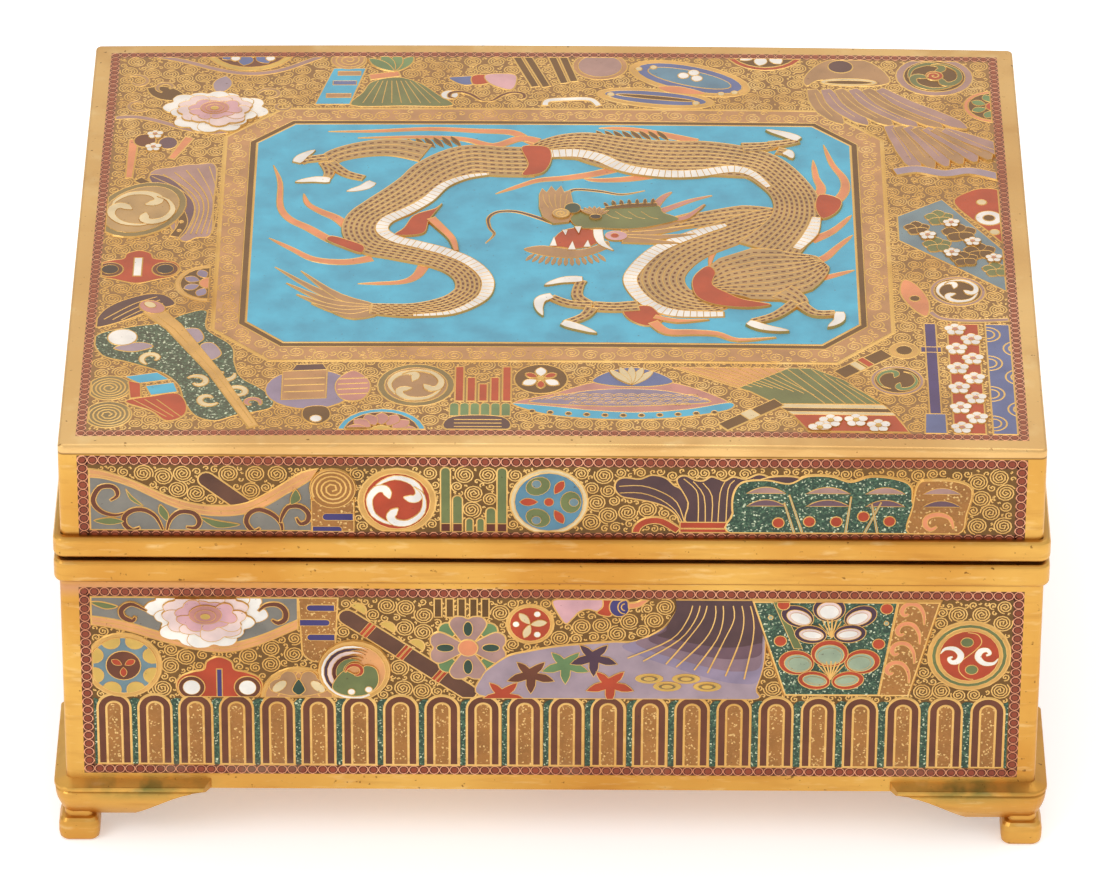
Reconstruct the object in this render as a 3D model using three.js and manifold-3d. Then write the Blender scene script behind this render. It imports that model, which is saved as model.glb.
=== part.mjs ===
// Rectangular cloisonne enamel box with a lift-off lid on four bracket feet.
// Sizes are in millimetres. X runs along the front, +Y to the back, +Z up.
// The soles of the feet stand on Z = 0.
import * as THREE from "three";
import { mergeVertices } from "three/addons/utils/BufferGeometryUtils.js";
import Module from "manifold-3d";

// Body: an open tray of gilt brass with enamel on its four walls.
const BODY_WIDTH = 124.6;
const BODY_DEPTH = 100.6;
const BODY_HEIGHT = 35.3;
const FLOOR_THICKNESS = 1.4;
const FOOT_HEIGHT = 7.7;
const CORNER_RADIUS = 0.8;

// Lid: four walls, a crowned top plate and a rim at its mouth.
const LID_INSET = 0.25;
const LID_HEIGHT = 16.3;
const LID_WALL = 1.3;
const LID_GAP = 0.5;
const TOP_PLATE_THICKNESS = 1.2;
const TOP_EDGE_ROUND = 0.4;
const CROWN_ALONG_WIDTH = 0.45;
const CROWN_ALONG_DEPTH = 0.3;

// Locating lip: the body walls rise inside the lid.
const LIP_THICKNESS = 0.7;
const LIP_CLEARANCE = 0.25;
const LIP_RISE = 2.4;

// Rims: rounded bands where lid and body meet.
const RIM_PROUD = 0.7;
const BODY_RIM_HEIGHT = 3.3;
const LID_RIM_HEIGHT = 3.0;
const RIM_ROUND = 0.6;

// Enamel: fused into shallow fields that leave gilt bands around them.
const ENAMEL_DEPTH = 0.6;
const CORNER_BAND = 2.4;
const TOP_BAND = 2.2;
const LID_UPPER_BAND = 1.4;
const BODY_UPPER_BAND = 1;
const BODY_LOWER_BAND = 2.3;

// Feet: corner brackets that wrap the bottom edge, each on a bun-shaped pad.
const BRACKET_LENGTH = 20.3;
const BRACKET_PROUD = 1.6;
const BRACKET_THICKNESS = 3.2;
const BRACKET_BEVEL = 1;
const BRACKET_WRAP = 1.5;
const LEDGE_SLOPE = 0.55;
const BEAD_HEIGHT = 0.8;
const BEAD_ROUND = 0.3;
const BEAD_GROOVE = 0.25;
const APRON_FOOT = 3.7;
const APRON_FLAT = 10.4;
const APRON_DRAW = 1.5;
const PAD_WIDTH = 5.3;
const PAD_NECK = 3.7;
const PAD_HEIGHT = 3.4;
const PAD_INSET = 0.5;

// Number of facets on a corner, a rounding, a curve and a crowned side.
const CORNER_STEPS = 6;
const ROUND_STEPS = 4;
const CURVE_STEPS = 8;
const CROWN_STEPS = 16;

const bodyHalfX = BODY_WIDTH / 2;
const bodyHalfY = BODY_DEPTH / 2;
const lidHalfX = bodyHalfX - LID_INSET;
const lidHalfY = bodyHalfY - LID_INSET;
const bodyWall = LID_INSET + LID_WALL + LIP_CLEARANCE + LIP_THICKNESS;
const bodyTop = FOOT_HEIGHT + BODY_HEIGHT;
const lidBottom = bodyTop + LID_GAP;
const lidTop = lidBottom + LID_HEIGHT;
const plateBottom = lidTop - TOP_PLATE_THICKNESS;

const wasm = await Module();
wasm.setup();

// Points of a rounded rectangle, counter-clockwise seen from above. Every
// outline with the same number of side steps has the same number of points.
function outline(halfX, halfY, radius, sideSteps) {
  const r = Math.max(radius, 0.1);
  const centres = [[1, -1, -90], [1, 1, 0], [-1, 1, 90], [-1, -1, 180]];
  const corners = centres.map(([sx, sy, start]) => {
    const cx = sx * (halfX - r);
    const cy = sy * (halfY - r);
    return arc(cx, cy, r, start, start + 90, CORNER_STEPS);
  });
  const points = [];
  corners.forEach((corner, i) => {
    points.push(...corner);
    const from = corner[corner.length - 1];
    const to = corners[(i + 1) % corners.length][0];
    for (let k = 1; k < sideSteps; k += 1) {
      points.push(from.clone().lerp(to, k / sideSteps));
    }
  });
  return points;
}

function arc(cx, cy, radius, startDeg, endDeg, steps) {
  const points = [];
  for (let i = 0; i <= steps; i += 1) {
    const angle = THREE.MathUtils.degToRad(startDeg + ((endDeg - startDeg) * i) / steps);
    points.push(new THREE.Vector2(cx + radius * Math.cos(angle), cy + radius * Math.sin(angle)));
  }
  return points;
}

function pointsAt(points, z) {
  return points.map((p) => new THREE.Vector3(p.x, p.y, z));
}

function geometryOf(points, faces) {
  const geometry = new THREE.BufferGeometry();
  geometry.setAttribute("position", new THREE.Float32BufferAttribute(points.flatMap((p) => p.toArray()), 3));
  geometry.setIndex(faces);
  geometry.computeVertexNormals();
  return geometry;
}

function wallFaces(loopCount, size, closed) {
  const faces = [];
  const last = closed ? loopCount : loopCount - 1;
  for (let k = 0; k < last; k += 1) {
    const low = k * size;
    const high = ((k + 1) % loopCount) * size;
    for (let i = 0; i < size; i += 1) {
      const j = (i + 1) % size;
      faces.push(low + i, low + j, high + j, low + i, high + j, high + i);
    }
  }
  return faces;
}

// A closed band: the loops run around its cross-section and meet again.
function band(loops) {
  return geometryOf(loops.flat(), wallFaces(loops.length, loops[0].length, true));
}

// A closed block: the first loop is its flat bottom, the last its flat top.
function block(loops) {
  const size = loops[0].length;
  const faces = wallFaces(loops.length, size, false);
  const top = (loops.length - 1) * size;
  const flat = loops[0].map((p) => new THREE.Vector2(p.x, p.y));
  THREE.ShapeUtils.triangulateShape(flat, []).forEach(([a, b, c]) => {
    faces.push(c, b, a);
    faces.push(top + a, top + b, top + c);
  });
  return geometryOf(loops.flat(), faces);
}

// Sweeps a cross-section around a rounded rectangle. Each point of the
// section is [distance outside the rectangle, height].
function sweep(section, halfX, halfY) {
  return band(section.map(([out, z]) => {
    const points = outline(halfX + out, halfY + out, CORNER_RADIUS + out, 1);
    return pointsAt(points, z);
  }));
}

function box(minX, maxX, minY, maxY, minZ, maxZ) {
  const geometry = new THREE.BoxGeometry(maxX - minX, maxY - minY, maxZ - minZ);
  return geometry.translate((minX + maxX) / 2, (minY + maxY) / 2, (minZ + maxZ) / 2);
}

// Boolean work on closed bodies.
function toSolid(geometry) {
  const bare = new THREE.BufferGeometry();
  bare.setAttribute("position", geometry.getAttribute("position"));
  bare.setIndex(geometry.getIndex());
  const merged = mergeVertices(bare, 1e-5);
  return new wasm.Manifold(new wasm.Mesh({
    numProp: 3,
    vertProperties: merged.getAttribute("position").array,
    triVerts: Uint32Array.from(merged.getIndex().array),
  }));
}

function toGeometry(solid) {
  const mesh = solid.getMesh();
  const geometry = new THREE.BufferGeometry();
  geometry.setAttribute("position", new THREE.Float32BufferAttribute(mesh.vertProperties, 3));
  geometry.setIndex(Array.from(mesh.triVerts));
  geometry.computeVertexNormals();
  return geometry;
}

function without(geometry, cutters) {
  const cut = cutters.reduce((solid, cutter) => solid.subtract(toSolid(cutter)), toSolid(geometry));
  return toGeometry(cut);
}

// Height of the crown over the level of the lid's corners.
function crown(x, y) {
  const alongX = CROWN_ALONG_WIDTH * (1 - (x / lidHalfX) ** 2);
  const alongY = CROWN_ALONG_DEPTH * (1 - (y / lidHalfY) ** 2);
  return alongX + alongY;
}

function crownedLoop(scale, inset, drop) {
  const points = outline(lidHalfX - inset, lidHalfY - inset, CORNER_RADIUS - inset, CROWN_STEPS);
  return points.map((p) => {
    const x = p.x * scale;
    const y = p.y * scale;
    return new THREE.Vector3(x, y, lidTop - drop + crown(x, y));
  });
}

// Crowned slab on a grid, from a flat bottom to the crowned surface plus a lift.
function crownedField(halfX, halfY, bottom, lift) {
  const columns = CROWN_STEPS;
  const rows = CROWN_STEPS;
  const geometry = new THREE.BoxGeometry(2 * halfX, 2 * halfY, 1, columns, rows, 1);
  const position = geometry.getAttribute("position");
  for (let i = 0; i < position.count; i += 1) {
    const x = position.getX(i);
    const y = position.getY(i);
    const top = lidTop + crown(x, y) + lift;
    position.setZ(i, position.getZ(i) > 0 ? top : bottom);
  }
  geometry.computeVertexNormals();
  return geometry;
}

function topFieldHalf() {
  return [lidHalfX - TOP_BAND, lidHalfY - TOP_BAND];
}

function lidTopPlate() {
  const bottom = pointsAt(outline(lidHalfX, lidHalfY, CORNER_RADIUS, CROWN_STEPS), plateBottom);
  const rounding = arc(0, 0, TOP_EDGE_ROUND, 0, 90, ROUND_STEPS).map((p) => {
    const inset = TOP_EDGE_ROUND - p.x;
    return crownedLoop(1, inset, TOP_EDGE_ROUND - p.y);
  });
  const inner = [0.93, 0.7, 0.4, 0.1].map((scale) => crownedLoop(scale, TOP_EDGE_ROUND, 0));
  const plate = block([bottom, ...rounding, ...inner]);
  const [halfX, halfY] = topFieldHalf();
  return without(plate, [crownedField(halfX, halfY, lidTop - ENAMEL_DEPTH, 1)]);
}

function lidTopEnamel() {
  const [halfX, halfY] = topFieldHalf();
  return toGeometry(toSolid(crownedField(halfX, halfY, lidTop - ENAMEL_DEPTH, 0)));
}

// The four enamel fields of a storey, as boxes sunk into the walls. Reach is
// how far a box runs past the wall's face: 0 for enamel, more for its cutter.
function wallFields(halfX, halfY, bottom, top, reach) {
  const spanX = halfX - CORNER_BAND;
  const spanY = halfY - CORNER_BAND;
  const sunkX = halfX - ENAMEL_DEPTH;
  const sunkY = halfY - ENAMEL_DEPTH;
  return {
    front: box(-spanX, spanX, -halfY - reach, -sunkY, bottom, top),
    back: box(-spanX, spanX, sunkY, halfY + reach, bottom, top),
    left: box(-halfX - reach, -sunkX, -spanY, spanY, bottom, top),
    right: box(sunkX, halfX + reach, -spanY, spanY, bottom, top),
  };
}

function lidFields(reach) {
  const bottom = lidBottom + LID_RIM_HEIGHT;
  return wallFields(lidHalfX, lidHalfY, bottom, lidTop - LID_UPPER_BAND, reach);
}

function bodyFields(reach) {
  const bottom = FOOT_HEIGHT + BODY_LOWER_BAND;
  const top = bodyTop - BODY_RIM_HEIGHT - BODY_UPPER_BAND;
  return wallFields(bodyHalfX, bodyHalfY, bottom, top, reach);
}

function lidWalls() {
  const section = [[0, lidBottom], [0, plateBottom], [-LID_WALL, plateBottom], [-LID_WALL, lidBottom]];
  return without(sweep(section, lidHalfX, lidHalfY), Object.values(lidFields(1)));
}

function bodyWalls() {
  const lipOut = LIP_THICKNESS - bodyWall;
  const section = [
    [0, FOOT_HEIGHT],
    [0, bodyTop],
    [lipOut, bodyTop],
    [lipOut, bodyTop + LIP_RISE],
    [-bodyWall, bodyTop + LIP_RISE],
    [-bodyWall, FOOT_HEIGHT],
  ];
  return without(sweep(section, bodyHalfX, bodyHalfY), Object.values(bodyFields(1)));
}

function bodyFloor() {
  const points = outline(bodyHalfX - bodyWall, bodyHalfY - bodyWall, CORNER_RADIUS - bodyWall, 1);
  return block([pointsAt(points, FOOT_HEIGHT), pointsAt(points, FOOT_HEIGHT + FLOOR_THICKNESS)]);
}

// Rim section with both outer edges rounded; it lies on the wall behind it.
function rim(back, bottom, height, halfX, halfY) {
  const r = RIM_ROUND;
  const low = arc(RIM_PROUD - r, bottom + r, r, -90, 0, ROUND_STEPS);
  const high = arc(RIM_PROUD - r, bottom + height - r, r, 0, 90, ROUND_STEPS);
  const outer = [...low, ...high].map((p) => [p.x, p.y]);
  const section = [[back, bottom], ...outer, [back, bottom + height]];
  return sweep(section, halfX, halfY);
}

function lidRim() {
  return rim(-LID_INSET, lidBottom, LID_RIM_HEIGHT, bodyHalfX, bodyHalfY);
}

function bodyRim() {
  return rim(0, bodyTop - BODY_RIM_HEIGHT, BODY_RIM_HEIGHT, bodyHalfX, bodyHalfY);
}

// Side view of a bracket: [distance from the corner, height]. Below the bead
// its lower edge falls in a long curve to a flat stretch over the pad.
function bracketShape(top, beadBottom) {
  const tip = BRACKET_BEVEL - BRACKET_LENGTH;
  const curve = new THREE.CubicBezierCurve(
    new THREE.Vector2(tip, beadBottom),
    new THREE.Vector2(tip * 0.8, beadBottom),
    new THREE.Vector2(-APRON_FLAT * 1.15, APRON_FOOT * 1.25),
    new THREE.Vector2(-APRON_FLAT, APRON_FOOT),
  ).getPoints(CURVE_STEPS);
  return new THREE.Shape([
    new THREE.Vector2(0, top),
    new THREE.Vector2(-BRACKET_LENGTH, top),
    new THREE.Vector2(-BRACKET_LENGTH, beadBottom),
    ...curve,
    new THREE.Vector2(0, APRON_FOOT),
  ]);
}

// One wing of the bracket, cut along the front wall from the corner inward.
function wing(top, beadBottom) {
  const settings = { depth: BRACKET_THICKNESS, bevelEnabled: false };
  const slab = new THREE.ExtrudeGeometry(bracketShape(top, beadBottom), settings);
  return toSolid(slab.rotateX(Math.PI / 2).translate(0, BRACKET_THICKNESS, 0));
}

// Cross-section of a bracket, from its foot up: [distance outside, height].
// The apron swells out to the groove, the bead is round, the ledge slopes.
function bracketSection(top, beadBottom) {
  const section = [];
  for (let i = CURVE_STEPS; i > 0; i -= 1) {
    const share = i / CURVE_STEPS;
    const z = beadBottom - BEAD_GROOVE - share * (beadBottom - BEAD_GROOVE - APRON_FOOT);
    section.push([-BEAD_GROOVE / 2 - APRON_DRAW * share ** 2, z]);
  }
  section.push([-BEAD_GROOVE / 2, beadBottom - BEAD_GROOVE]);
  section.push([-BEAD_GROOVE - BEAD_GROOVE / 2, beadBottom]);
  const beadTop = beadBottom + BEAD_HEIGHT;
  section.push([0, beadBottom + BEAD_GROOVE]);
  const round = arc(-BEAD_ROUND, beadTop - BEAD_ROUND, BEAD_ROUND, 0, 90, ROUND_STEPS);
  section.push(...round.map((p) => [p.x, p.y]));
  section.push([-BRACKET_PROUD, top]);
  return section;
}

// Ends of a bracket are cut slantwise, seen from above.
function bracketPlan(bottom, top) {
  const far = -BRACKET_LENGTH;
  const near = BRACKET_BEVEL - BRACKET_LENGTH;
  const shape = new THREE.Shape([
    new THREE.Vector2(0, 0),
    new THREE.Vector2(0, -near),
    new THREE.Vector2(-BRACKET_PROUD, -far),
    new THREE.Vector2(far, -far),
    new THREE.Vector2(far, BRACKET_PROUD),
    new THREE.Vector2(near, 0),
  ]);
  const prism = new THREE.ExtrudeGeometry(shape, { depth: top - bottom, bevelEnabled: false });
  return toSolid(prism.translate(0, 0, bottom));
}

// The bracket is made at the front right corner, its outer corner at the origin.
function bracket() {
  const top = FOOT_HEIGHT + BRACKET_WRAP;
  const beadBottom = top - LEDGE_SLOPE - BEAD_HEIGHT;
  const along = wing(top, beadBottom);
  const around = along.mirror([1, 0, 0]).rotate([0, 0, 90]);
  const half = BRACKET_LENGTH * 2;
  const loops = bracketSection(top, beadBottom).map(([out, z]) => {
    const points = outline(half + out, half + out, CORNER_RADIUS + BRACKET_PROUD + out, 1);
    return pointsAt(points.map((p) => p.add(new THREE.Vector2(-half, half))), z);
  });
  const profile = toSolid(block(loops));
  return along.add(around).intersect(profile).intersect(bracketPlan(APRON_FOOT, top));
}

// Bun-shaped pad under the corner: its loops bulge and draw in to a neck.
function pad() {
  const section = [[0.86, 0], [0.96, 0.1], [1, 0.3], [1, 0.62], [0.94, 0.84], [0.84, 0.96]];
  const loops = section.map(([share, rise]) => padLoop((share * PAD_WIDTH) / 2, rise * PAD_HEIGHT));
  loops.push(padLoop(PAD_NECK / 2, PAD_HEIGHT));
  loops.push(padLoop(PAD_NECK / 2, (APRON_FOOT + FOOT_HEIGHT) / 2));
  return toSolid(block(loops));
}

function padLoop(half, z) {
  const inset = PAD_INSET + PAD_WIDTH / 2;
  const points = outline(half, half, half * 0.45, 1);
  return pointsAt(points.map((p) => p.add(new THREE.Vector2(-inset, inset))), z);
}

function foot() {
  const whole = bracket().add(pad());
  const outerX = bodyHalfX + BRACKET_PROUD;
  const outerY = bodyHalfY + BRACKET_PROUD;
  const body = block([
    pointsAt(outline(bodyHalfX, bodyHalfY, CORNER_RADIUS, 1), FOOT_HEIGHT),
    pointsAt(outline(bodyHalfX, bodyHalfY, CORNER_RADIUS, 1), bodyTop),
  ]);
  return whole.translate([outerX, -outerY, 0]).subtract(toSolid(body));
}

function feet() {
  const frontRight = foot();
  const backRight = frontRight.mirror([0, 1, 0]);
  return {
    front_right: frontRight,
    back_right: backRight,
    front_left: frontRight.mirror([1, 0, 0]),
    back_left: backRight.mirror([1, 0, 0]),
  };
}

const gilt = { color: 0xd9a552, metalness: 1, roughness: 0.35 };
const enamel = { color: 0x5f4424, metalness: 0, roughness: 0.3 };

function named(name, geometry, look) {
  const mesh = new THREE.Mesh(geometry, new THREE.MeshStandardMaterial(look));
  mesh.name = name;
  return mesh;
}

const box_group = new THREE.Group();
box_group.name = "cloisonne_box";
box_group.add(named("lid_top", lidTopPlate(), gilt));
box_group.add(named("lid_top_enamel", lidTopEnamel(), enamel));
box_group.add(named("lid_walls", lidWalls(), gilt));
box_group.add(named("lid_rim", lidRim(), gilt));
box_group.add(named("body_rim", bodyRim(), gilt));
box_group.add(named("body_walls", bodyWalls(), gilt));
box_group.add(named("body_floor", bodyFloor(), gilt));
Object.entries(lidFields(0)).forEach(([side, field]) => {
  box_group.add(named(`lid_enamel_${side}`, field, enamel));
});
Object.entries(bodyFields(0)).forEach(([side, field]) => {
  box_group.add(named(`body_enamel_${side}`, field, enamel));
});
Object.entries(feet()).forEach(([corner, solid]) => {
  box_group.add(named(`foot_${corner}`, toGeometry(solid), gilt));
});

export default box_group;
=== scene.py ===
# %% [markdown]
# # A cloisonne enamel box
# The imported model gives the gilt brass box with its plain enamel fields. This lesson adds what the
# enameller did: hair-thin gilt wires bent into spirals and pictures, the coloured glass between
# them, and the soft, worn gilding of the frame. Everything is in metres; drawings are in
# millimetres and are laid on the fields by a small function.

# %% Load the box
import math
import random
import bpy
import numpy as np
from mathutils import Matrix, Vector
from mathutils.geometry import delaunay_2d_cdt


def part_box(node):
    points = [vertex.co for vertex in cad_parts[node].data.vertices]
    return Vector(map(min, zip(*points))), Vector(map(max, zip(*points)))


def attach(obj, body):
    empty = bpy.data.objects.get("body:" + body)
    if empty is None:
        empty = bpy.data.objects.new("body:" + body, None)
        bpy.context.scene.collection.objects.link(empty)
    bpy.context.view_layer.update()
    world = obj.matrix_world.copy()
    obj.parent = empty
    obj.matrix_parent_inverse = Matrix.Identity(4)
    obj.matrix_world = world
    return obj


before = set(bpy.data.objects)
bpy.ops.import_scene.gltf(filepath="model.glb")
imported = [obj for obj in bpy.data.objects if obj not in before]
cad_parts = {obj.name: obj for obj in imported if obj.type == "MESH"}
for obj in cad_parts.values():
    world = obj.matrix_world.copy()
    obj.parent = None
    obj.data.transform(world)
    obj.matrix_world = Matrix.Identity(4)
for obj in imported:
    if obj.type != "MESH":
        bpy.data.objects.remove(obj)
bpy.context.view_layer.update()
MM = 0.001

# %% [markdown]
# ## Camera
# The photograph was taken from well back with a long lens, so the box's sides hardly converge. A
# fit to its corners gives the distance, a view 33 degrees down and a very slight roll.

# %% Camera
CAMERA_DISTANCE = 1.088
CAMERA_DOWN = math.radians(32.84)
CAMERA_ROLL = math.radians(0.29)
CAMERA_AIM = Vector((-0.0003, 0.0, 0.028))
FOCAL_PIXELS = 8214
PHOTO_WIDTH = 1100

camera_data = bpy.data.cameras.new("photo_camera")
camera_data.sensor_width = 36
camera_data.lens = FOCAL_PIXELS / PHOTO_WIDTH * camera_data.sensor_width
camera_data.clip_start = 0.05
camera = bpy.data.objects.new("photo_camera", camera_data)
bpy.context.scene.collection.objects.link(camera)
turn = Matrix.Rotation(math.pi / 2 - CAMERA_DOWN, 4, "X") @ Matrix.Rotation(CAMERA_ROLL, 4, "Z")
back = turn.to_3x3() @ Vector((0, 0, CAMERA_DISTANCE))
camera.matrix_world = Matrix.Translation(CAMERA_AIM + back) @ turn
bpy.context.scene.camera = camera
print("lens, mm:", round(camera_data.lens))

# %% [markdown]
# ## Light and floor
# The box stands on white under soft light from all round, so a white world does most of the work.
# It is dimmer near the horizon, like a room's walls, and the rounded rims mirror that as a brown
# stripe. A large lamp on the left and one overhead give the gilding its gentle gradient.

# %% Light and floor
HORIZON = (0.05, 0.38)
HORIZON_LIGHT = 0.42
FLOOR_SIZE = 6

world = bpy.data.worlds.new("white_studio")
bpy.context.scene.world = world
world.use_nodes = True
sky = world.node_tree.nodes["Background"]
sky.inputs["Color"].default_value = (1, 1, 1, 1)
facing = world.node_tree.nodes.new("ShaderNodeTexCoord")
upward = world.node_tree.nodes.new("ShaderNodeSeparateXYZ")
shade = world.node_tree.nodes.new("ShaderNodeMapRange")
shade.inputs["From Min"].default_value, shade.inputs["From Max"].default_value = HORIZON
shade.inputs["To Min"].default_value = HORIZON_LIGHT
shade.inputs["To Max"].default_value = 1.0
world.node_tree.links.new(facing.outputs["Generated"], upward.inputs["Vector"])
world.node_tree.links.new(upward.outputs["Z"], shade.inputs["Value"])
world.node_tree.links.new(shade.outputs["Result"], sky.inputs["Strength"])
bpy.context.scene.view_settings.view_transform = "Standard"


def lamp(name, place, size, power):
    """Square lamp aimed at the box; place and size in metres, power in watts."""
    data = bpy.data.lights.new(name, "AREA")
    data.size = size
    data.energy = power
    item = bpy.data.objects.new(name, data)
    bpy.context.scene.collection.objects.link(item)
    item.location = place
    item.rotation_euler = (CAMERA_AIM - Vector(place)).to_track_quat("-Z", "Y").to_euler()


lamp("key_left", (-0.7, -0.6, 0.8), 0.5, 2.4)
lamp("overhead", (0.1, 0.3, 1.0), 0.6, 1.5)

bpy.ops.object.select_all(action="DESELECT")
bpy.ops.mesh.primitive_plane_add(size=FLOOR_SIZE)
floor = bpy.context.object
floor.name = "floor"

# %% [markdown]
# ## Finishes
# Four finishes make the box: gilt brass with rubbed, orange and pale patches and dark specks; matt
# glass enamel whose colour comes from each cell; and two kinds of aventurine, glass full of
# glittering flecks. Patterns follow Object coordinates, so they stay in place on every piece.

# %% Helpers for finishes


def srgb(text):
    """Linear colour of a six-digit hex value."""
    parts = [int(text[i:i + 2], 16) / 255 for i in (0, 2, 4)]
    return tuple(p / 12.92 if p < 0.04045 else ((p + 0.055) / 1.055) ** 2.4 for p in parts) + (1,)


class Finish:
    """A material with its Principled shader and short ways to add nodes."""

    def __init__(self, name, roughness, metallic=0.0):
        self.material = bpy.data.materials.new(name)
        self.material.use_nodes = True
        self.tree = self.material.node_tree
        self.shader = self.tree.nodes["Principled BSDF"]
        self.shader.inputs["Metallic"].default_value = metallic
        self.shader.inputs["Roughness"].default_value = roughness
        self.place = self.tree.nodes.new("ShaderNodeTexCoord").outputs["Object"]

    def link(self, output, target):
        self.tree.links.new(output, target)

    def noise(self, scale, detail=3.0, stretch=(1, 1, 1)):
        """Cloudy pattern; a stretch above 1 squeezes it along that axis."""
        node = self.tree.nodes.new("ShaderNodeTexNoise")
        node.inputs["Scale"].default_value = scale
        node.inputs["Detail"].default_value = detail
        squeeze = self.tree.nodes.new("ShaderNodeMapping")
        squeeze.inputs["Scale"].default_value = stretch
        self.link(self.place, squeeze.inputs["Vector"])
        self.link(squeeze.outputs["Vector"], node.inputs["Vector"])
        return node.outputs["Fac"]

    def axis(self, name):
        """Object coordinate along one axis, in metres."""
        node = self.tree.nodes.new("ShaderNodeSeparateXYZ")
        self.link(self.place, node.inputs["Vector"])
        return node.outputs[name]

    def maths(self, operation, *values):
        node = self.tree.nodes.new("ShaderNodeMath")
        node.operation = operation
        for socket, value in zip(node.inputs, values):
            if hasattr(value, "links"):
                self.link(value, socket)
            else:
                socket.default_value = value
        return node.outputs[0]

    def near(self, value, middle, reach):
        """1 at the middle, falling to 0 at a distance of reach."""
        return self.steps(self.maths("ABSOLUTE", self.maths("SUBTRACT", value, middle)), reach, 0.0)

    def steps(self, value, low, high):
        """Maps a value to 0..1 between two thresholds."""
        node = self.tree.nodes.new("ShaderNodeMapRange")
        node.inputs["From Min"].default_value = low
        node.inputs["From Max"].default_value = high
        self.link(value, node.inputs["Value"])
        return node.outputs["Result"]

    def mix(self, share, first, second, mode="MIX"):
        """Mixes two colours, each a socket or a fixed colour."""
        node = self.tree.nodes.new("ShaderNodeMix")
        node.data_type = "RGBA"
        node.blend_type = mode
        for socket, value in ((node.inputs[0], share), (node.inputs[6], first), (node.inputs[7], second)):
            if hasattr(value, "links"):
                self.link(value, socket)
            else:
                socket.default_value = value
        return node.outputs[2]

    def product(self, *values):
        result = values[0]
        for value in values[1:]:
            result = self.maths("MULTIPLY", result, value)
        return result

    def colour(self, output):
        self.link(output, self.shader.inputs["Base Color"])

    def bump(self, height, strength, distance):
        node = self.tree.nodes.new("ShaderNodeBump")
        node.inputs["Strength"].default_value = strength
        node.inputs["Distance"].default_value = distance
        self.link(height, node.inputs["Height"])
        self.link(node.outputs["Normal"], self.shader.inputs["Normal"])


# %% Floor finish
floor_finish = Finish("white_floor", 0.9)
floor_finish.colour(floor_finish.mix(floor_finish.noise(8), (0.95, 0.95, 0.95, 1), (0.99, 0.99, 0.99, 1)))
floor_finish.shader.inputs["Emission Color"].default_value = (1, 1, 1, 1)
floor_finish.shader.inputs["Emission Strength"].default_value = 0.3
floor.data.materials.append(floor_finish.material)

# %% Gilt brass
# Painted shade in the seams and gaps between parts: each has its level and reach in mm and how dark it is.
# Above TOP_FIELD lies the lid's top.
SEAM_SHADES = ((58.6, 0.2, 0.8), (46.5, 0.3, 0.25), (43.25, 0.4, 0.5), (39.7, 0.4, 0.3))
TOP_FIELD = (58.8 * MM, 59.2 * MM)


def gilt(name, light, deep, worn=True, roughness=0.33):
    """Worn gilding: streaks drawn out along the box, pale rubbed places and specks, with painted shade as
    dark lines in the seams and a painted shadow under the rim.
    """
    made = Finish(name, roughness, metallic=1.0)
    tone = made.mix(made.steps(made.noise(38, 2), 0.35, 0.65), srgb(light), srgb(deep))
    brown = made.steps(made.noise(95, 4, (1, 1, 8)), 0.54, 0.80)
    tone = made.mix(made.product(brown, 0.45), tone, srgb("a2682f"))
    rubbed = made.steps(made.noise(240, 4, (1, 1, 5)), 0.58, 0.85)
    tone = made.mix(made.product(rubbed, 0.4), tone, srgb("f4dca6"))
    if worn:
        tone = soil_and_shade(made, tone)
    made.colour(tone)
    grain = made.noise(900, 6)
    rough = made.tree.nodes.new("ShaderNodeMapRange")
    rough.inputs["To Min"].default_value = roughness - 0.08
    rough.inputs["To Max"].default_value = roughness + 0.16
    made.link(grain, rough.inputs["Value"])
    made.link(rough.outputs["Result"], made.shader.inputs["Roughness"])
    made.bump(grain, 0.2, 0.00008)
    return made


def soil_and_shade(made, tone):
    """Painted shade as brown lines in the seams and gaps, a pink-brown painted shadow under the body's rim
    on the left, green corrosion on the feet, specks.
    """
    height, along = made.axis("Z"), made.maths("ABSOLUTE", made.axis("X"))
    # painted shade: each seam and gap between parts is darkened towards brown
    for level, reach, strength in SEAM_SHADES:
        line = made.near(height, level * MM, reach * MM)
        tone = made.mix(made.product(line, strength), tone, srgb("5a3014"))
    # painted shadow: the gilt just under the body's rim is tinted pink-brown towards the left
    rim_shadow_at = made.product(made.near(height, 38.6 * MM, 1.6 * MM),
                            made.steps(made.axis("X"), -20 * MM, -50 * MM))
    tone = made.mix(made.product(rim_shadow_at, 0.6), tone, srgb("c08a72"))
    ledge = made.product(made.near(height, 8.6 * MM, 2.2 * MM), made.near(along, 53 * MM, 11 * MM),
                         made.steps(made.noise(230), 0.40, 0.56))
    tone = made.mix(made.product(ledge, 0.9), tone, srgb("5f6b3c"))
    dots = made.steps(made.noise(1300, 2), 0.70, 0.77)
    return made.mix(made.product(dots, 0.8), tone, srgb("6a4420"))


frame_gilt = gilt("frame_gilt", "dcac58", "c68c3e")
# painted light: the lid's upward-facing top plate gets a paler copy of the same gilt
lit_lid_top_gilt = gilt("lit_lid_top_gilt", "e2b878", "d0a264")
wire_gilt = gilt("wire_gilt", "e6bc74", "d4a45c", worn=False, roughness=0.4)
ring_gilt = gilt("ring_gilt", "eaa884", "cc8460", worn=False, roughness=0.4)
print("gilt finishes:", [made.material.name for made in (frame_gilt, lit_lid_top_gilt, wire_gilt, ring_gilt)])

# %% Enamels


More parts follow.
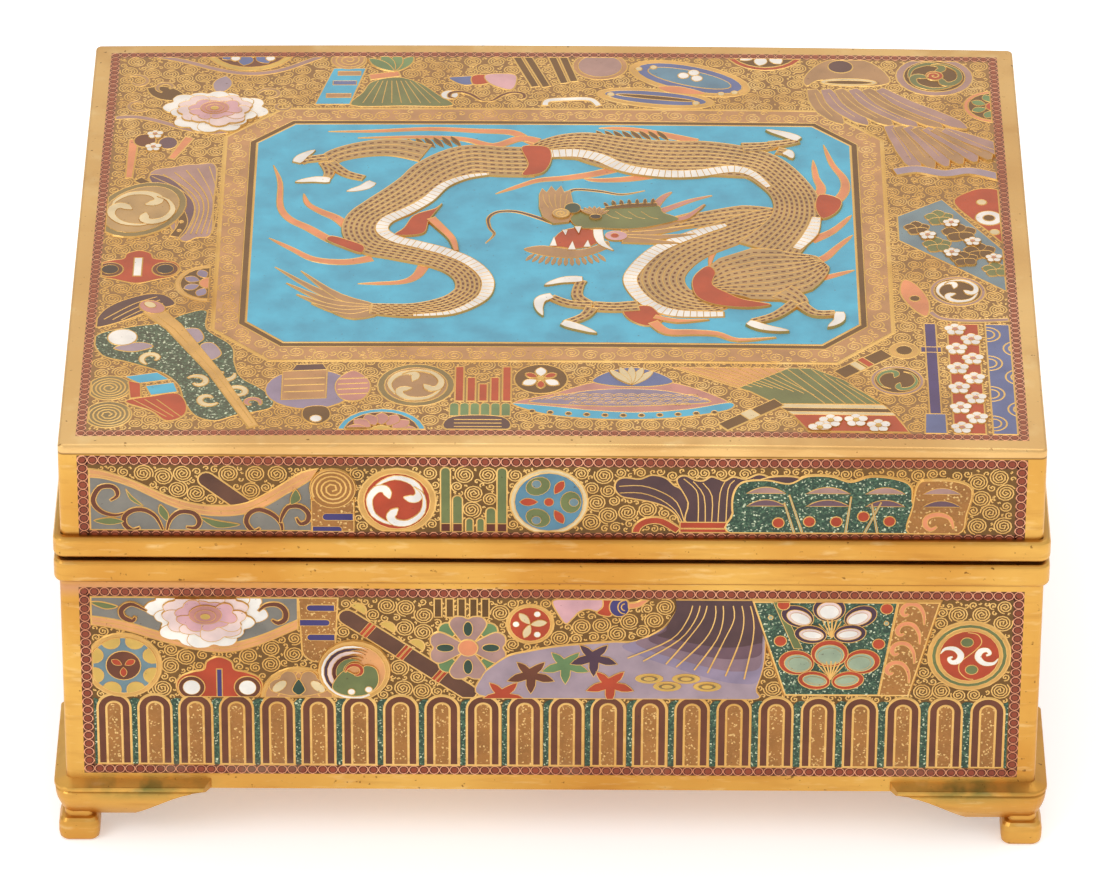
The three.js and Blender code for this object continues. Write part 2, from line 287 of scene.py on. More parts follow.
def enamel(name, flecks=None, roughness=0.32):
    """Matt old glass. The colour is the cell's own; flecks glitter in aventurine."""
    made = Finish(name, roughness)
    made.shader.inputs["Specular IOR Level"].default_value = 0.22
    own = made.tree.nodes.new("ShaderNodeAttribute")
    own.attribute_name = "enamel"
    cloudy = made.mix(made.steps(made.noise(260, 4), 0.3, 0.7), (0.78, 0.78, 0.80, 1), (1.12, 1.1, 1.08, 1))
    tone = made.mix(1.0, own.outputs["Color"], cloudy, "MULTIPLY")
    if flecks:
        tone = glitter(made, tone, flecks)
    grime = made.product(made.near(made.axis("Z"), 10.8 * MM, 1.8 * MM),
                         made.steps(made.noise(120), 0.52, 0.64))
    tone = made.mix(made.product(grime, 0.6), tone, srgb("7a6650"))
    pits = made.steps(made.noise(2100, 2), 0.71, 0.76)
    tone = made.mix(made.product(pits, 0.6), tone, srgb("4a3524"))
    # painted light: enamel on the lid's top, which faces the bright sky, is mixed a little towards pale tan
    painted_top_light = made.steps(made.axis("Z"), *TOP_FIELD)
    made.colour(made.mix(made.product(painted_top_light, 0.14), tone, srgb("b98f68")))
    made.bump(made.noise(1500, 4), 0.12, 0.00005)
    return made


def glitter(made, tone, flecks):
    """Scatters crystal-like flecks of two colours, one dull and common, one bright and rare."""
    dull, bright = flecks
    cells = made.tree.nodes.new("ShaderNodeTexVoronoi")
    cells.inputs["Scale"].default_value = 4600
    made.link(made.place, cells.inputs["Vector"])
    tint = made.tree.nodes.new("ShaderNodeSeparateColor")
    made.link(cells.outputs["Color"], tint.inputs["Color"])
    common = made.mix(made.product(made.steps(tint.outputs["Red"], 0.5, 0.95), 0.65), tone, srgb(dull))
    return made.mix(made.product(made.steps(tint.outputs["Green"], 0.88, 0.97), 0.9), common, srgb(bright))


plain_glass = enamel("enamel_glass")
green_glass = enamel("aventurine_green", flecks=("5a7a5c", "d4dcb8"))
brown_glass = enamel("aventurine_brown", flecks=("a8713c", "eac27c"))
GLASS = {"plain": 0, "green": 1, "brown": 2}

COLOURS = {
    "turquoise": "42aac6", "tan": "b9875a", "coral": "dd8c60", "red": "b04528",
    "brown": "6a3c28", "dark": "4b3340", "plum": "553c3c", "mauve": "a8847a", "lavender": "8f8094",
    "lilac": "a28e96", "blue": "5a6a94", "indigo": "423a6c", "grey": "7f7a70", "white": "ece6dc",
    "cream": "dcc699", "gold": "d4a258", "yellow": "cfa955", "green": "6a8656", "moss": "6d7547",
    "teal": "6f868c", "forest": "34493a", "pink": "cf9fa2", "rose": "c18478", "copper": "a06c34",
    "olive": "857247", "scale": "b4905e", "peach": "d89a62", "ink": "33302c", "maroon": "8e432b",
    "umber": "654620", "rosewood": "ab825a", "sienna": "5f2e1e", "sage": "9aa88c", "azure": "5a8498",
    "blush": "e2c8c0", "flute": "62402f", "dusk": "6b5058", "haze": "8a7078",
}
TONES = {name: srgb(value) for name, value in COLOURS.items()}
print("enamel colours:", len(TONES))

# %% [markdown]
# ## Drawing kit
# Each enamel field gets a drawing board. `u` runs to the right and `v` up, in millimetres, as on
# the box, and `place` lays a point on the real surface. A cell is a thin pane of glass with a wire
# soldered round it. Later cells lie a few hundredths of a millimetre over earlier ones, so a
# picture is built up like a collage.

# %% Outlines


def pairs(numbers):
    return [(numbers[i], numbers[i + 1]) for i in range(0, len(numbers), 2)]


def placer(u, v, s=1.0, side=1):
    """Lays numbers u, v, u, v... about a point as points on the board; side -1 mirrors them."""
    return lambda *numbers: [(u + side * s * x, v + s * y) for x, y in pairs(numbers)]


def around(u, v, r, degrees):
    """Point at a distance r from (u, v), in the direction of an angle."""
    angle = math.radians(degrees)
    return u + r * math.cos(angle), v + r * math.sin(angle)


def hard(*numbers):
    """Outline with straight sides, from u, v, u, v..."""
    return pairs(numbers)


def soft(*numbers, closed=True, steps=5):
    """Smooth curve through the points."""
    return through(pairs(numbers), closed, steps)


def through(points, closed=False, steps=5):
    count = len(points)
    result = []
    for i in range(count if closed else count - 1):
        if closed:
            a, b, c, d = (np.array(points[(i + k) % count]) for k in (-1, 0, 1, 2))
        else:
            a, b, c, d = (np.array(points[min(max(i + k, 0), count - 1)]) for k in (-1, 0, 1, 2))
        for k in range(steps):
            t = k / steps
            result.append(tuple(b + 0.5 * t * (c - a + t * (2 * a - 5 * b + 4 * c - d
                                                           + t * (3 * (b - c) + d - a)))))
    if not closed:
        result.append(tuple(points[-1]))
    return result


def oval(u, v, ru, rv=None, turned=0, start=0, end=360, count=28):
    """Ellipse or part of one, about (u, v)."""
    rv = ru if rv is None else rv
    steps = max(3, round(count * abs(end - start) / 360))
    last = steps if abs(end - start) < 360 else steps - 1
    c, s = math.cos(math.radians(turned)), math.sin(math.radians(turned))
    result = []
    for i in range(last + 1):
        angle = math.radians(start + (end - start) * i / steps)
        x, y = ru * math.cos(angle), rv * math.sin(angle)
        result.append((u + c * x - s * y, v + s * x + c * y))
    return result


def edge(points, widths, share):
    """Line beside a band's middle, by a share of its half width; widths may vary along it."""
    line = np.array(points, float)
    given = np.atleast_1d(widths)
    width = np.interp(np.linspace(0, 1, len(line)), np.linspace(0, 1, len(given)), given)
    along = np.gradient(line, axis=0)
    along /= np.maximum(np.linalg.norm(along, axis=1), 1e-9)[:, None]
    return line + np.stack([-along[:, 1], along[:, 0]], 1) * (share * width / 2)[:, None]


def strap(points, widths):
    """Closed outline of a band along a line."""
    return [tuple(p) for p in edge(points, widths, -1)] + [tuple(p) for p in edge(points, widths, 1)[::-1]]


def leaf(u, v, angle, length, width, start=0.0):
    """Petal or leaf that springs from (u, v) towards an angle."""
    line = [around(u, v, d, angle) for d in np.linspace(start, length, 9)]
    return strap(line, [0.02 * width, 0.55 * width, 0.85 * width, width, 0.95 * width, 0.7 * width,
                        0.02 * width])


# %% Clipping and stacking


def inside(points, outline):
    """Which of the points lie inside an outline."""
    p = np.asarray(points, float)
    a = np.asarray(outline, float)
    b = np.roll(a, -1, 0)
    crosses = (a[None, :, 1] > p[:, None, 1]) != (b[None, :, 1] > p[:, None, 1])
    rise = np.where(np.abs(b[:, 1] - a[:, 1]) < 1e-12, 1e-12, b[:, 1] - a[:, 1])
    at = a[None, :, 0] + (p[:, None, 1] - a[None, :, 1]) * ((b[:, 0] - a[:, 0]) / rise)[None, :]
    return (np.sum(crosses & (p[:, None, 0] < at), 1) % 2) == 1


def cut(outline, fences):
    """Outline cut by fences (a, b, c): what stays has a * u + b * v above c."""
    for a, b, c in fences:
        result = []
        for i, p in enumerate(outline):
            q = outline[i - 1]
            here, before = a * p[0] + b * p[1] - c, a * q[0] + b * q[1] - c
            if (here >= 0) != (before >= 0):
                t = before / (before - here)
                result.append((q[0] + t * (p[0] - q[0]), q[1] + t * (p[1] - q[1])))
            if here >= 0:
                result.append(tuple(p))
        outline = result
    return outline


def split(points, closed, longest=5.0):
    """Long straight stretches cut into short ones, so that they can follow a crowned field."""
    line = [np.asarray(p, float) for p in points]
    result = []
    for a, b in zip(line, line[1:] + line[:1] if closed else line[1:]):
        parts = max(1, math.ceil(np.linalg.norm(b - a) / longest))
        result += [a + (b - a) * k / parts for k in range(parts)]
    return np.array(result if closed else result + [line[-1]])


# %% The drawing board
PANE_STEP = 0.03
WIRE_RISE = 0.022
WIRE_SINK = 0.008
WIRE = 0.27


class Sheet:
    """Gathers the points, faces and colours of one piece."""

    def __init__(self):
        self.points, self.faces, self.tints, self.kinds = [], [], [], []

    def add(self, points, faces, tint=(1, 1, 1, 1), kind=0):
        start = len(self.points)
        self.points.extend(points)
        self.faces.extend([tuple(start + i for i in face) for face in faces])
        self.tints.extend([tint] * len(faces))
        self.kinds.extend([kind] * len(faces))


class Board:
    """Drawing board of one enamel field."""

    def __init__(self, name, u, v, place, crowned=False):
        self.name, self.u, self.v, self.place, self.crowned = name, u, v, place, crowned
        self.glass, self.wires = Sheet(), Sheet()
        self.laid, self.margin, self.foot, self.fences = [], 0.0, 0.0, []

    def limits(self):
        m = self.margin
        return (self.u[0] + m, self.v[0] + self.foot), (self.u[1] - m, self.v[1] - m)

    def edges(self):
        """Fences of the field itself, and those set for the picture in hand."""
        (u0, v0), (u1, v1) = self.limits()
        return [(1, 0, u0), (0, 1, v0), (-1, 0, -u1), (0, -1, -v1), *self.fences]

    def level(self, outline):
        """One more than the highest pane that the outline touches."""
        p = np.asarray(outline, float)
        low, high = p.min(0), p.max(0)
        top = 0
        for other, other_low, other_high, height in self.laid:
            if height < top or (other_low > high).any() or (other_high < low).any():
                continue
            if inside(p, other).any() or inside(other, p).any():
                top = max(top, height)
        return top + 1

    def lay(self, points, height):
        p = np.asarray(points, float)
        return self.place(p[:, 0], p[:, 1], height)

    def cell(self, outline, tone, wire=WIRE, kind="plain"):
        """A pane of glass with its wire."""
        outline = cut(outline, self.edges())
        if len(outline) < 3:
            return
        p = split(outline, True)
        if np.sum(p[:, 0] * np.roll(p[:, 1], -1) - np.roll(p[:, 0], -1) * p[:, 1]) < 0:
            p = p[::-1]
        level = self.level(p)
        self.laid.append((p, p.min(0), p.max(0), level))
        self.pane(p, level * PANE_STEP, TONES[tone], GLASS[kind])
        if wire:
            self.wire(p, wire, level, closed=True)

    def pane(self, p, height, tint, kind):
        size = p.max(0) - p.min(0)
        verts, inner = [Vector(q) for q in p], []
        if self.crowned and size.max() > 9:
            us, vs = (np.arange(p[:, k].min() + 3, p[:, k].max(), 6.0) for k in (0, 1))
            grid = np.array([(a, b) for a in us for b in vs])
            inner = [Vector(q) for q in grid[inside(grid, p)]] if len(grid) else []
        found = delaunay_2d_cdt(verts + inner, [], [list(range(len(verts)))], 1, 1e-4)
        self.glass.add(self.lay([tuple(q) for q in found[0]], height), found[2], tint, kind)

    def wire(self, points, width, level, closed=False, kind=0):
        """A ridge of gilt wire along a line. Round a pane, its outer side reaches the ground."""
        line = split(points, closed)
        gaps = np.linalg.norm(np.diff(line, axis=0), axis=1)
        line = line[np.concatenate([[True], gaps > 0.03])]
        if closed and np.linalg.norm(line[0] - line[-1]) < 0.03:
            line = line[:-1]
        if len(line) < 2:
            return
        if closed:
            ahead, behind = np.roll(line, -1, 0) - line, line - np.roll(line, 1, 0)
        else:
            step = np.diff(line, axis=0)
            ahead, behind = np.vstack([step, step[-1:]]), np.vstack([step[:1], step])
        ahead /= np.linalg.norm(ahead, axis=1)[:, None]
        behind /= np.linalg.norm(behind, axis=1)[:, None]
        mean = ahead + behind
        mean /= np.maximum(np.linalg.norm(mean, axis=1), 1e-6)[:, None]
        reach = 1 / np.clip(np.sum(mean * ahead, 1), 0.6, 1)
        across = np.stack([-mean[:, 1], mean[:, 0]], 1) * (reach * width / 2)[:, None]
        base, top = level * PANE_STEP - WIRE_SINK, level * PANE_STEP + WIRE_RISE
        n = len(line)
        points = (list(self.lay(line + across, base)) + list(self.lay(line, top))
                  + list(self.lay(line - across, -WIRE_SINK if closed else base)))
        faces = []
        for i in range(n if closed else n - 1):
            j = (i + 1) % n
            faces += [(i, n + i, n + j, j), (n + i, 2 * n + i, 2 * n + j, n + j)]
        self.wires.add(points, faces, kind=kind)

    def thread(self, points, width=0.2):
        """A wire by itself, over whatever lies under it."""
        runs, run = [], []
        for p in points:
            if all(a * p[0] + b * p[1] >= c for a, b, c in self.edges()):
                run.append(p)
            elif run:
                runs.append(run)
                run = []
        for part in runs + [run]:
            if len(part) > 1:
                self.wire(part, width, self.level(part) - 1)

    def disc(self, u, v, r, tone, wire=WIRE, kind="plain", rv=None, turned=0, count=24):
        self.cell(oval(u, v, r, rv, turned, count=count), tone, wire, kind)

    def strip(self, points, widths, tone, wire=WIRE, kind="plain"):
        self.cell(strap(points, widths), tone, wire, kind)


# %% [markdown]
# ## Spirals and ring chains
# All the ground between the pictures is filled with little spirals bent from wire, large ones
# first and small curls in the gaps, and a chain of rings runs round every field. The spirals are
# packed like coins: each is put where it just touches what is already there.

# %% Spirals and ring chains
SPIRAL_SIZES = ((1.3, 3.8, 27), (1.0, 3.0, 20), (0.78, 2.4, 15), (0.56, 1.7, 10), (0.38, 1.2, 7),
                (0.25, 0.9, 4))
CLOSE = 0.87
TOP_RINGS = (1.2, 0.56)
WALL_RINGS = (1.3, 0.62)
RIM_COVERS = 0.7


def clearances(spots, outlines):
    """Distance of each spot from the nearest outline, negative inside one."""
    free = np.full(len(spots), 99.0)
    for outline in outlines:
        a = np.asarray(outline, float)
        near = ((spots > a.min(0) - 1.6) & (spots < a.max(0) + 1.6)).all(1)
        p = spots[near]
        if not len(p):
            continue
        step = np.roll(a, -1, 0) - a
        size = np.maximum((step ** 2).sum(1), 1e-12)
        t = np.clip(((p[:, None] - a[None]) * step[None]).sum(2) / size[None], 0, 1)
        gap = np.linalg.norm(p[:, None] - (a[None] + t[..., None] * step[None]), axis=2).min(1)
        gap[inside(p, a)] *= -1
        free[near] = np.minimum(free[near], gap)
    return free


def spiral(u, v, radius, turns, count, start, hand):
    t = np.sqrt(np.linspace(0.02, 1, count))
    angle = start + hand * 2 * math.pi * turns * t
    return np.stack([u + radius * t * np.cos(angle), v + radius * t * np.sin(angle)], 1)


def spiral_ground(board, seed, keep=None, avoid=(), width=0.22, sizes=SPIRAL_SIZES):
    """Packs spirals between the pictures, or inside an outline of their own."""
    rng = random.Random(seed)
    low, high = board.limits()
    if keep is not None:
        low, high = np.min(keep, 0), np.max(keep, 0)
    us, vs = np.arange(low[0], high[0], 0.25), np.arange(low[1], high[1], 0.25)
    spots = np.array([(a, b) for a in us for b in vs])
    spots = spots + np.array([[rng.uniform(-0.1, 0.1), rng.uniform(-0.1, 0.1)] for _ in spots])
    if keep is None:
        free = clearances(spots, [item[0] for item in board.laid])
        free = np.minimum(free, np.minimum(spots - np.array(low), np.array(high) - spots).min(1))
        level = 0
    else:
        free = np.minimum(-clearances(spots, [keep]), clearances(spots, avoid) if avoid else 99)
        level = board.level(keep) - 1
    made = 0
    for radius, turns, count in sizes:
        while True:
            fits = np.flatnonzero(free >= radius * CLOSE)
            if not len(fits):
                break
            spot = fits[np.argmin(free[fits])]
            u, v = spots[spot]
            curl = spiral(u, v, radius, turns, count, rng.uniform(0, 6.3), rng.choice((-1, 1)))
            board.wire(curl, width, level)
            free = np.minimum(free, np.linalg.norm(spots - spots[spot], axis=1) - radius)
            made += 1
    return made


def ring_chain(board, pitch, radius, covered=0.0):
    """Rings with red middles round the field. A rim may cover part of the lowest row."""
    (u0, v0), (u1, v1) = (board.u[0], board.v[0]), (board.u[1], board.v[1])
    m = radius + 0.06
    board.fences = [(0, 1, v0), (1, 0, u0), (-1, 0, -u1)]
    corners = [(u0 + m, v0 + m - covered), (u1 - m, v0 + m - covered), (u1 - m, v1 - m), (u0 + m, v1 - m)]
    for (a, b), (c, d) in zip(corners, corners[1:] + corners[:1]):
        bed = split(cut(strap([(a, b), (c, d)], 2 * radius), board.fences), True)
        board.pane(bed, 0.01, TONES["sienna"], 0)
        count = round(math.hypot(c - a, d - b) / pitch)
        for i in range(count):
            spot = (a + (c - a) * i / count, b + (d - b) * i / count)
            board.pane(np.array(oval(*spot, radius * 0.7, count=6)), 0.02, TONES["maroon"], 0)
            ring = [p for p in oval(*spot, radius, start=-90, end=270, count=9) if p[1] > v0]
            board.wire(ring, 0.25, 0, closed=len(ring) > 8, kind=1)
    board.margin = board.foot = 2 * radius + 0.25
    board.foot -= covered
    board.fences = []


# %% [markdown]
# ## Boards for the nine fields
# `place` follows each field's own node: flat on the walls, slightly crowned on the lid's top,
# where the height comes from the same two-way arch as in the model.

# %% Boards
top_low, top_high = (np.array(c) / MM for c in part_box("lid_top_enamel"))
plate_low, plate_high = (np.array(c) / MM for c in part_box("lid_top"))
LID_HALF = plate_high[:2]
CROWN = (0.45, 0.3)
CORNER_LEVEL = top_high[2] - sum(CROWN)


def on_top(u, v, height):
    z = CORNER_LEVEL + CROWN[0] * (1 - (u / LID_HALF[0]) ** 2) + CROWN[1] * (1 - (v / LID_HALF[1]) ** 2)
    return (np.stack([u, v, z + height], 1) * MM).tolist()


def on_wall(node, side):
    """Places points on a wall field; u runs to the right seen from outside."""
    low, high = (np.array(c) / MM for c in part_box(node))
    axis, sign = {"front": (1, -1), "back": (1, 1), "left": (0, -1), "right": (0, 1)}[side]
    face = (low if sign < 0 else high)[axis]
    run = 1 if side in ("front", "right") else -1

    def place(u, v, height):
        result = np.empty((len(u), 3))
        result[:, axis] = face + sign * height
        result[:, 1 - axis] = run * u
        result[:, 2] = v
        return (result * MM).tolist()

    half = high[1 - axis]
    return Board(node, (-half, half), (low[2], high[2]), place)


top = Board("lid_top_enamel", (top_low[0], top_high[0]), (top_low[1], top_high[1]), on_top, crowned=True)
lids = {side: on_wall(f"lid_enamel_{side}", side) for side in ("front", "back", "left", "right")}
bodies = {side: on_wall(f"body_enamel_{side}", side) for side in ("front", "back", "left", "right")}
boards = [top, *lids.values(), *bodies.values()]
for board in boards:
    ring_chain(board, *(TOP_RINGS if board is top else WALL_RINGS),
               RIM_COVERS if board in lids.values() else 0)
print("top field, mm:", np.round(top_high - top_low, 1))

# %% [markdown]
# ## Motifs
# Small pictures that the box repeats: badges of curling commas, blossoms, clouds, scrolls, leaves
# and ropes of scales. Each is a function that draws on a board about a point.

# %% Motifs


def comma(u, v, r, angle, sweep=150):
    """A comma that chases round a badge: a hooked head near the middle and a long tail along the rim."""
    line = [around(u, v, r * reach, angle + aside * sweep / 150)
            for reach, aside in ((0.26, 26), (0.42, 6), (0.62, 2), (0.8, 16), (0.89, 42), (0.91, 76),
                                 (0.88, 112), (0.8, 138))]
    return strap(through(line, steps=3), [0.04 * r, 0.28 * r, 0.3 * r, 0.27 * r, 0.22 * r, 0.17 * r,
                                          0.1 * r, 0.02 * r])


def badge(b, u, v, r, ring, field, tone="white", start=90, sweep=170, count=3, rim=0.14):
    """Round badge with commas."""
    b.disc(u, v, r, ring)
    b.disc(u, v, r * (1 - rim), field)
    for i in range(count):
        b.cell(comma(u, v, r * (0.94 - rim), start + 360 * i / count, sweep), tone, wire=0.2)


def bloom(b, u, v, count, r, width, tone, heart="yellow", start=90, inner=0.2, core=0.22, kind="plain"):
    """Blossom of pointed petals."""
    for i in range(count):
        b.cell(leaf(u, v, start + 360 * i / count, r, width, inner * r), tone, kind=kind)
    b.disc(u, v, core * r, heart, count=12)


def dots(b, spots, r, tone, ring=None):
    for u, v in spots:
        if ring:
            b.disc(u, v, r + 0.55, ring, count=14)
        b.disc(u, v, r, tone, count=12)


def coil(b, u, v, r, tone, turns=4.0):
    """Round spot wound full of wire."""
    b.disc(u, v, r, tone)
    b.thread(spiral(u, v, r - 0.25, turns, int(12 * turns), 0.5, 1), 0.3)


def scroll(b, u, v, r, tone, start, hand=1, width=0.9, tail=()):
    """Fat curl of colour, with a stem that runs on to the tail's points."""
    curl = spiral(u, v, r, 1.35, 15, math.radians(start), hand)[2:]
    vine(b, [tuple(p) for p in curl] + list(tail), tone, width)


def vine(b, points, tone, width=0.75):
    """Stem that thickens from a curled tip."""
    b.cell(strap(points, [0.45 * width, 0.9 * width, width, width, width, 0.8 * width, 0.4 * width]), tone,
           wire=0.22)


def cloud(b, u, v, s, eye="ink", bar="white", thick=1.1):
    """Red cloud with a bar and two ringed eyes."""
    b.cell(soft(*[n for p in ((-5.4, -0.6), (-4.9, 0.9), (-3.3, 1.7), (-1.9, 2.1), (-1.5, 3.3),
                              (0, 4), (1.5, 3.3), (1.9, 2.1), (3.3, 1.7), (4.9, 0.9), (5.4, -0.6),
                              (4.6, -2.2), (2.6, -3), (0, -3.9), (-2.6, -3),
                              (-4.6, -2.2)) for n in (u + p[0] * s, v + p[1] * s)]), "red")
    for side in (-3.5, 3.5):
        b.disc(u + side * s, v - 0.6 * s, 1.7 * s, "brown")
        b.disc(u + side * s, v - 0.6 * s, 1.1 * s, eye, wire=0.16)
    b.strip([(u, v - 2.2 * s), (u, v + 2.2 * s)], thick * s, bar)


def petal(u, v, angle, reach, wide):
    """Broad petal with a notched outer edge."""
    a = math.radians(angle)
    shape = ((0.1, 0.1), (0.4, 0.34), (0.74, 0.52), (0.97, 0.4), (1.0, 0.16), (0.93, 0.0))
    points = [*shape, *[(x, -y) for x, y in shape[-2::-1]]]
    return through([(u + x * reach * math.cos(a) - y * wide * math.sin(a),
                     v + x * reach * math.sin(a) + y * wide * math.cos(a)) for x, y in points], True, 4)


def peony(b, u, v, s, outer="white", inner="pink", flat=1.0):
    """Full-blown peony: two uneven rings of broad petals about a cup; flat squashes it upwards."""
    for tone, start, count, reach, wide in ((outer, 14, 8, 6.6, 5.6), ("blush", 40, 7, 4.9, 4.6),
                                            (inner, 80, 5, 3.3, 3.8)):
        for i in range(count):
            swing = 1 + 0.1 * math.sin(2.3 * i + start)
            outline = petal(0, 0, start + 360 * i / count + 6 * math.sin(5 * i), reach * s * swing,
                            wide * s * swing)
            b.cell([(u + x, v + y * flat) for x, y in outline], tone, wire=0.2)
    for r, up in ((2.0, 0.3), (1.3, 0.1), (0.6, 0)):
        b.disc(u, v + up * s * flat, r * s, "rose" if r > 1 else "yellow", rv=r * s * flat, wire=0.18,
               count=18)


def half_flower(b, u, v, r, fence, rim="gold", petal="red", ground="ink", heart="yellow", count=12):
    """Round many-petalled flower with a rim, of which a border hides a part."""
    b.fences = [fence] if fence else []
    b.disc(u, v, r, rim)
    b.disc(u, v, r * 0.86, ground)
    for i in range(count):
        b.cell(leaf(u, v, 360 * (i + 0.5) / count, r * 0.8, r * 0.34, r * 0.3), petal, wire=0.2)
    b.disc(u, v, r * 0.3, heart, count=14)
    b.fences = []


def plum_blossom(b, u, v, r, tone, heart="red"):
    """Five round petals and a heart."""
    for i in range(5):
        b.disc(*around(u, v, 0.6 * r, 90 + 72 * i), 0.45 * r, tone, wire=0.16, count=9)
    b.disc(u, v, 0.28 * r, heart, wire=0.16, count=8)


def maple(b, u, v, s, tone, turned=0):
    """Five-pointed leaf with full lobes."""
    points = []
    for angle, reach in ((46, 0.85), (134, 0.85), (200, 1.05), (270, 1.0), (340, 1.05)):
        for aside, share in ((-34, 0.36), (-20, 0.6), (-9, 0.8), (0, 1.0), (9, 0.8), (20, 0.6)):
            points.append(around(u, v, share * reach * s, angle + aside + turned))
    b.cell(points, tone, wire=0.2)


def swag(b, upper, lower, floor_line, band="peach", field="grey"):
    """Hanging curtain: a coloured band, and below or above it a field up to floor_line."""
    b.cell(list(lower) + list(floor_line), field)
    b.cell(list(upper) + list(lower)[::-1], band)


def rope(b, points, widths, rows, pitch=1.05, tone="scale"):
    """Scaly dragon skin: rows of wire with dark dashes between them."""
    line = through(points, steps=5)
    b.strip(line, widths, tone)
    level = b.laid[-1][3]
    for row in range(1, rows):
        b.wire(edge(line, widths, 1.9 * row / rows - 0.95), 0.16, level)
    for row in range(rows):
        track = edge(line, widths, 1.9 * (row + 0.5) / rows - 0.95)
        run = np.concatenate([[0], np.cumsum(np.linalg.norm(np.diff(track, axis=0), axis=1))])
        for at in np.arange(pitch * (0.3 + 0.5 * (row % 2)), run[-1] - pitch * 0.5, pitch):
            ends = [[np.interp(at + d, run, track[:, k]) for k in (0, 1)] for d in (0, pitch * 0.55)]
            b.pane(np.array(strap(ends, 0.27)), level * PANE_STEP + 0.006, TONES["brown"], 0)


def ribs(b, points, widths, pitch=0.85, tone="white"):
    """Ribbed belly: a pale band crossed by wires."""
    line = through(points, steps=5)
    b.strip(line, widths, tone)
    level = b.laid[-1][3]
    left, right = edge(line, widths, 1), edge(line, widths, -1)
    run = np.concatenate([[0], np.cumsum(np.linalg.norm(np.diff(np.array(line), axis=0), axis=1))])
    for at in np.arange(pitch * 0.6, run[-1], pitch):
        ends = [[np.interp(at, run, side[:, k]) for k in (0, 1)] for side in (left, right)]
        b.wire(ends, 0.15, level)


def lashes(b, points, widths, tone):
    """Flame or lock of hair that tapers to a tip."""
    b.strip(through(points, steps=4), widths, tone)


# %% [markdown]
# ## The lid's top
# A turquoise panel with a dragon fills the middle, framed by an eight-sided band of spirals. Round
# it lie scattered treasures: drums, fans, books, flowers, leaves and badges.

# %% The eight-sided frame
CARTOUCHE = (44.2, 32.2, 7.8)
CARTOUCHE_UP = 1.0
CHAMFER_SHRINK = 2 - math.sqrt(2)


def cartouche(inset):
    """The frame's eight-sided outline, moved inwards all round."""
    a, b, c = CARTOUCHE[0] - inset, CARTOUCHE[1] - inset, CARTOUCHE[2] - CHAMFER_SHRINK * inset
    v = CARTOUCHE_UP
    return [(a - c, v - b), (a, v - b + c), (a, v + b - c), (a - c, v + b),
            (c - a, v + b), (-a, v + b - c), (-a, v - b + c), (c - a, v - b)]


top.cell(cartouche(0.9), "tan", wire=0)
top.wire(cartouche(0.6), 0.6, 1, closed=True)
spiral_ground(top, 50, keep=cartouche(0.9), avoid=[cartouche(3.7)],
              sizes=((1.1, 2.7, 20), (0.55, 1.4, 9)))
top.cell(cartouche(4.0), "umber", wire=0)
top.wire(cartouche(3.9), 0.24, 2, closed=True)
top.cell(cartouche(5.0), "turquoise", wire=0)
top.wire(cartouche(4.78), 0.45, 3, closed=True)
print("frame drawn, panes so far:", len(top.laid))

# %% The dragon: flames, tail and the loop that lies behind
FLAME = [1.5, 1.4, 1.3, 1.1, 0.9, 0.7, 0.1]
for tip in ((-36.0, -8.2), (-32.6, -9.2), (-34.4, -12.2), (-33.0, -15.0), (-31.0, -17.2), (-28.4, -19.2)):
    middle = ((tip[0] - 22.5) / 2, (tip[1] - 18.8) / 2 - 1.4)
    lashes(top, [(-21.5, -18.7), middle, tip], [0.7, 1.6, 1.3, 0.7, 0.1], "rosewood")
for flame in (
    [(-27, -2.4), (-29, -1.5), (-32, 1.5), (-34.5, 3.8), (-35.8, 7), (-36, 13), (-37, 17.5)],
    [(-27, 2), (-28.4, 4), (-30.5, 5.7), (-32.2, 7.6), (-32.8, 10.2)],
    [(-23.5, -6), (-27, -7), (-31, -6.3), (-34, -3.7), (-37, -1)],
    [(-16.8, -8), (-17.8, -10.6), (-20, -12), (-25.2, -12.3)],
    [(-1.5, 22.5), (-3.5, 24.2), (-5.5, 26.1), (-10, 26.5), (-16.5, 27), (-24, 26.4), (-30, 26.3)],
    [(-2, 23.8), (-4.5, 24.5), (-8, 22.6), (-12, 24.3), (-18, 24.8), (-26, 24.6)],
    [(8, 16.6), (5, 15.3), (1.5, 14.3), (-2, 13.7), (-5, 11.9), (-7.6, 10.2)],
    [(14, 15.4), (10, 14.2), (6, 13.8), (4, 14.2)],
    [(34.2, 8), (35.2, 12), (34.6, 15), (34.3, 19.5)],
    [(36.2, 7.5), (38.1, 11), (38.3, 14.5), (36.8, 18.5), (35.8, 23.5)],
    [(28.5, 4), (26, 0), (23, -2.2), (20.8, -4.2), (20.2, -8.5)],
    [(33.6, -1), (36.5, 1.5), (39, 5.5)],
    [(32.5, -6.5), (35, -5.5), (37, -2.5), (39, 0.5)],
    [(32.5, -11), (35, -10.2), (39, -8.2)],
    [(19, 24), (14, 26), (10, 27.2), (6, 27.4)],
):
    lashes(top, flame, FLAME, "coral")

rope(top, [(29, 5.4), (25, 5.4), (20, 4.1), (15.5, 2.6), (11, 2)], [3.0, 4.4, 3.6, 2.6, 1.6], 4)
loop = [(31, 5), (27, 3.4), (22.5, 0.4), (17.6, -3.2), (14.6, -7.4), (13.7, -11.4), (15.3, -15.2),
        (19, -17), (22, -16.5)]
rope(top, loop, [5.0, 5.6, 6.0, 6.4, 6.6, 6.6, 6.0, 4.5, 3.0], 7)
ribs(top, [(22.6, 2.6), (18.3, 0.2), (13.6, -3.6), (10.7, -8.4), (10, -12), (12, -16.6),
           (15.6, -19.2), (22, -19.4)], [0.8, 1.8, 1.9, 1.9, 1.9, 1.9, 1.7, 1.2])

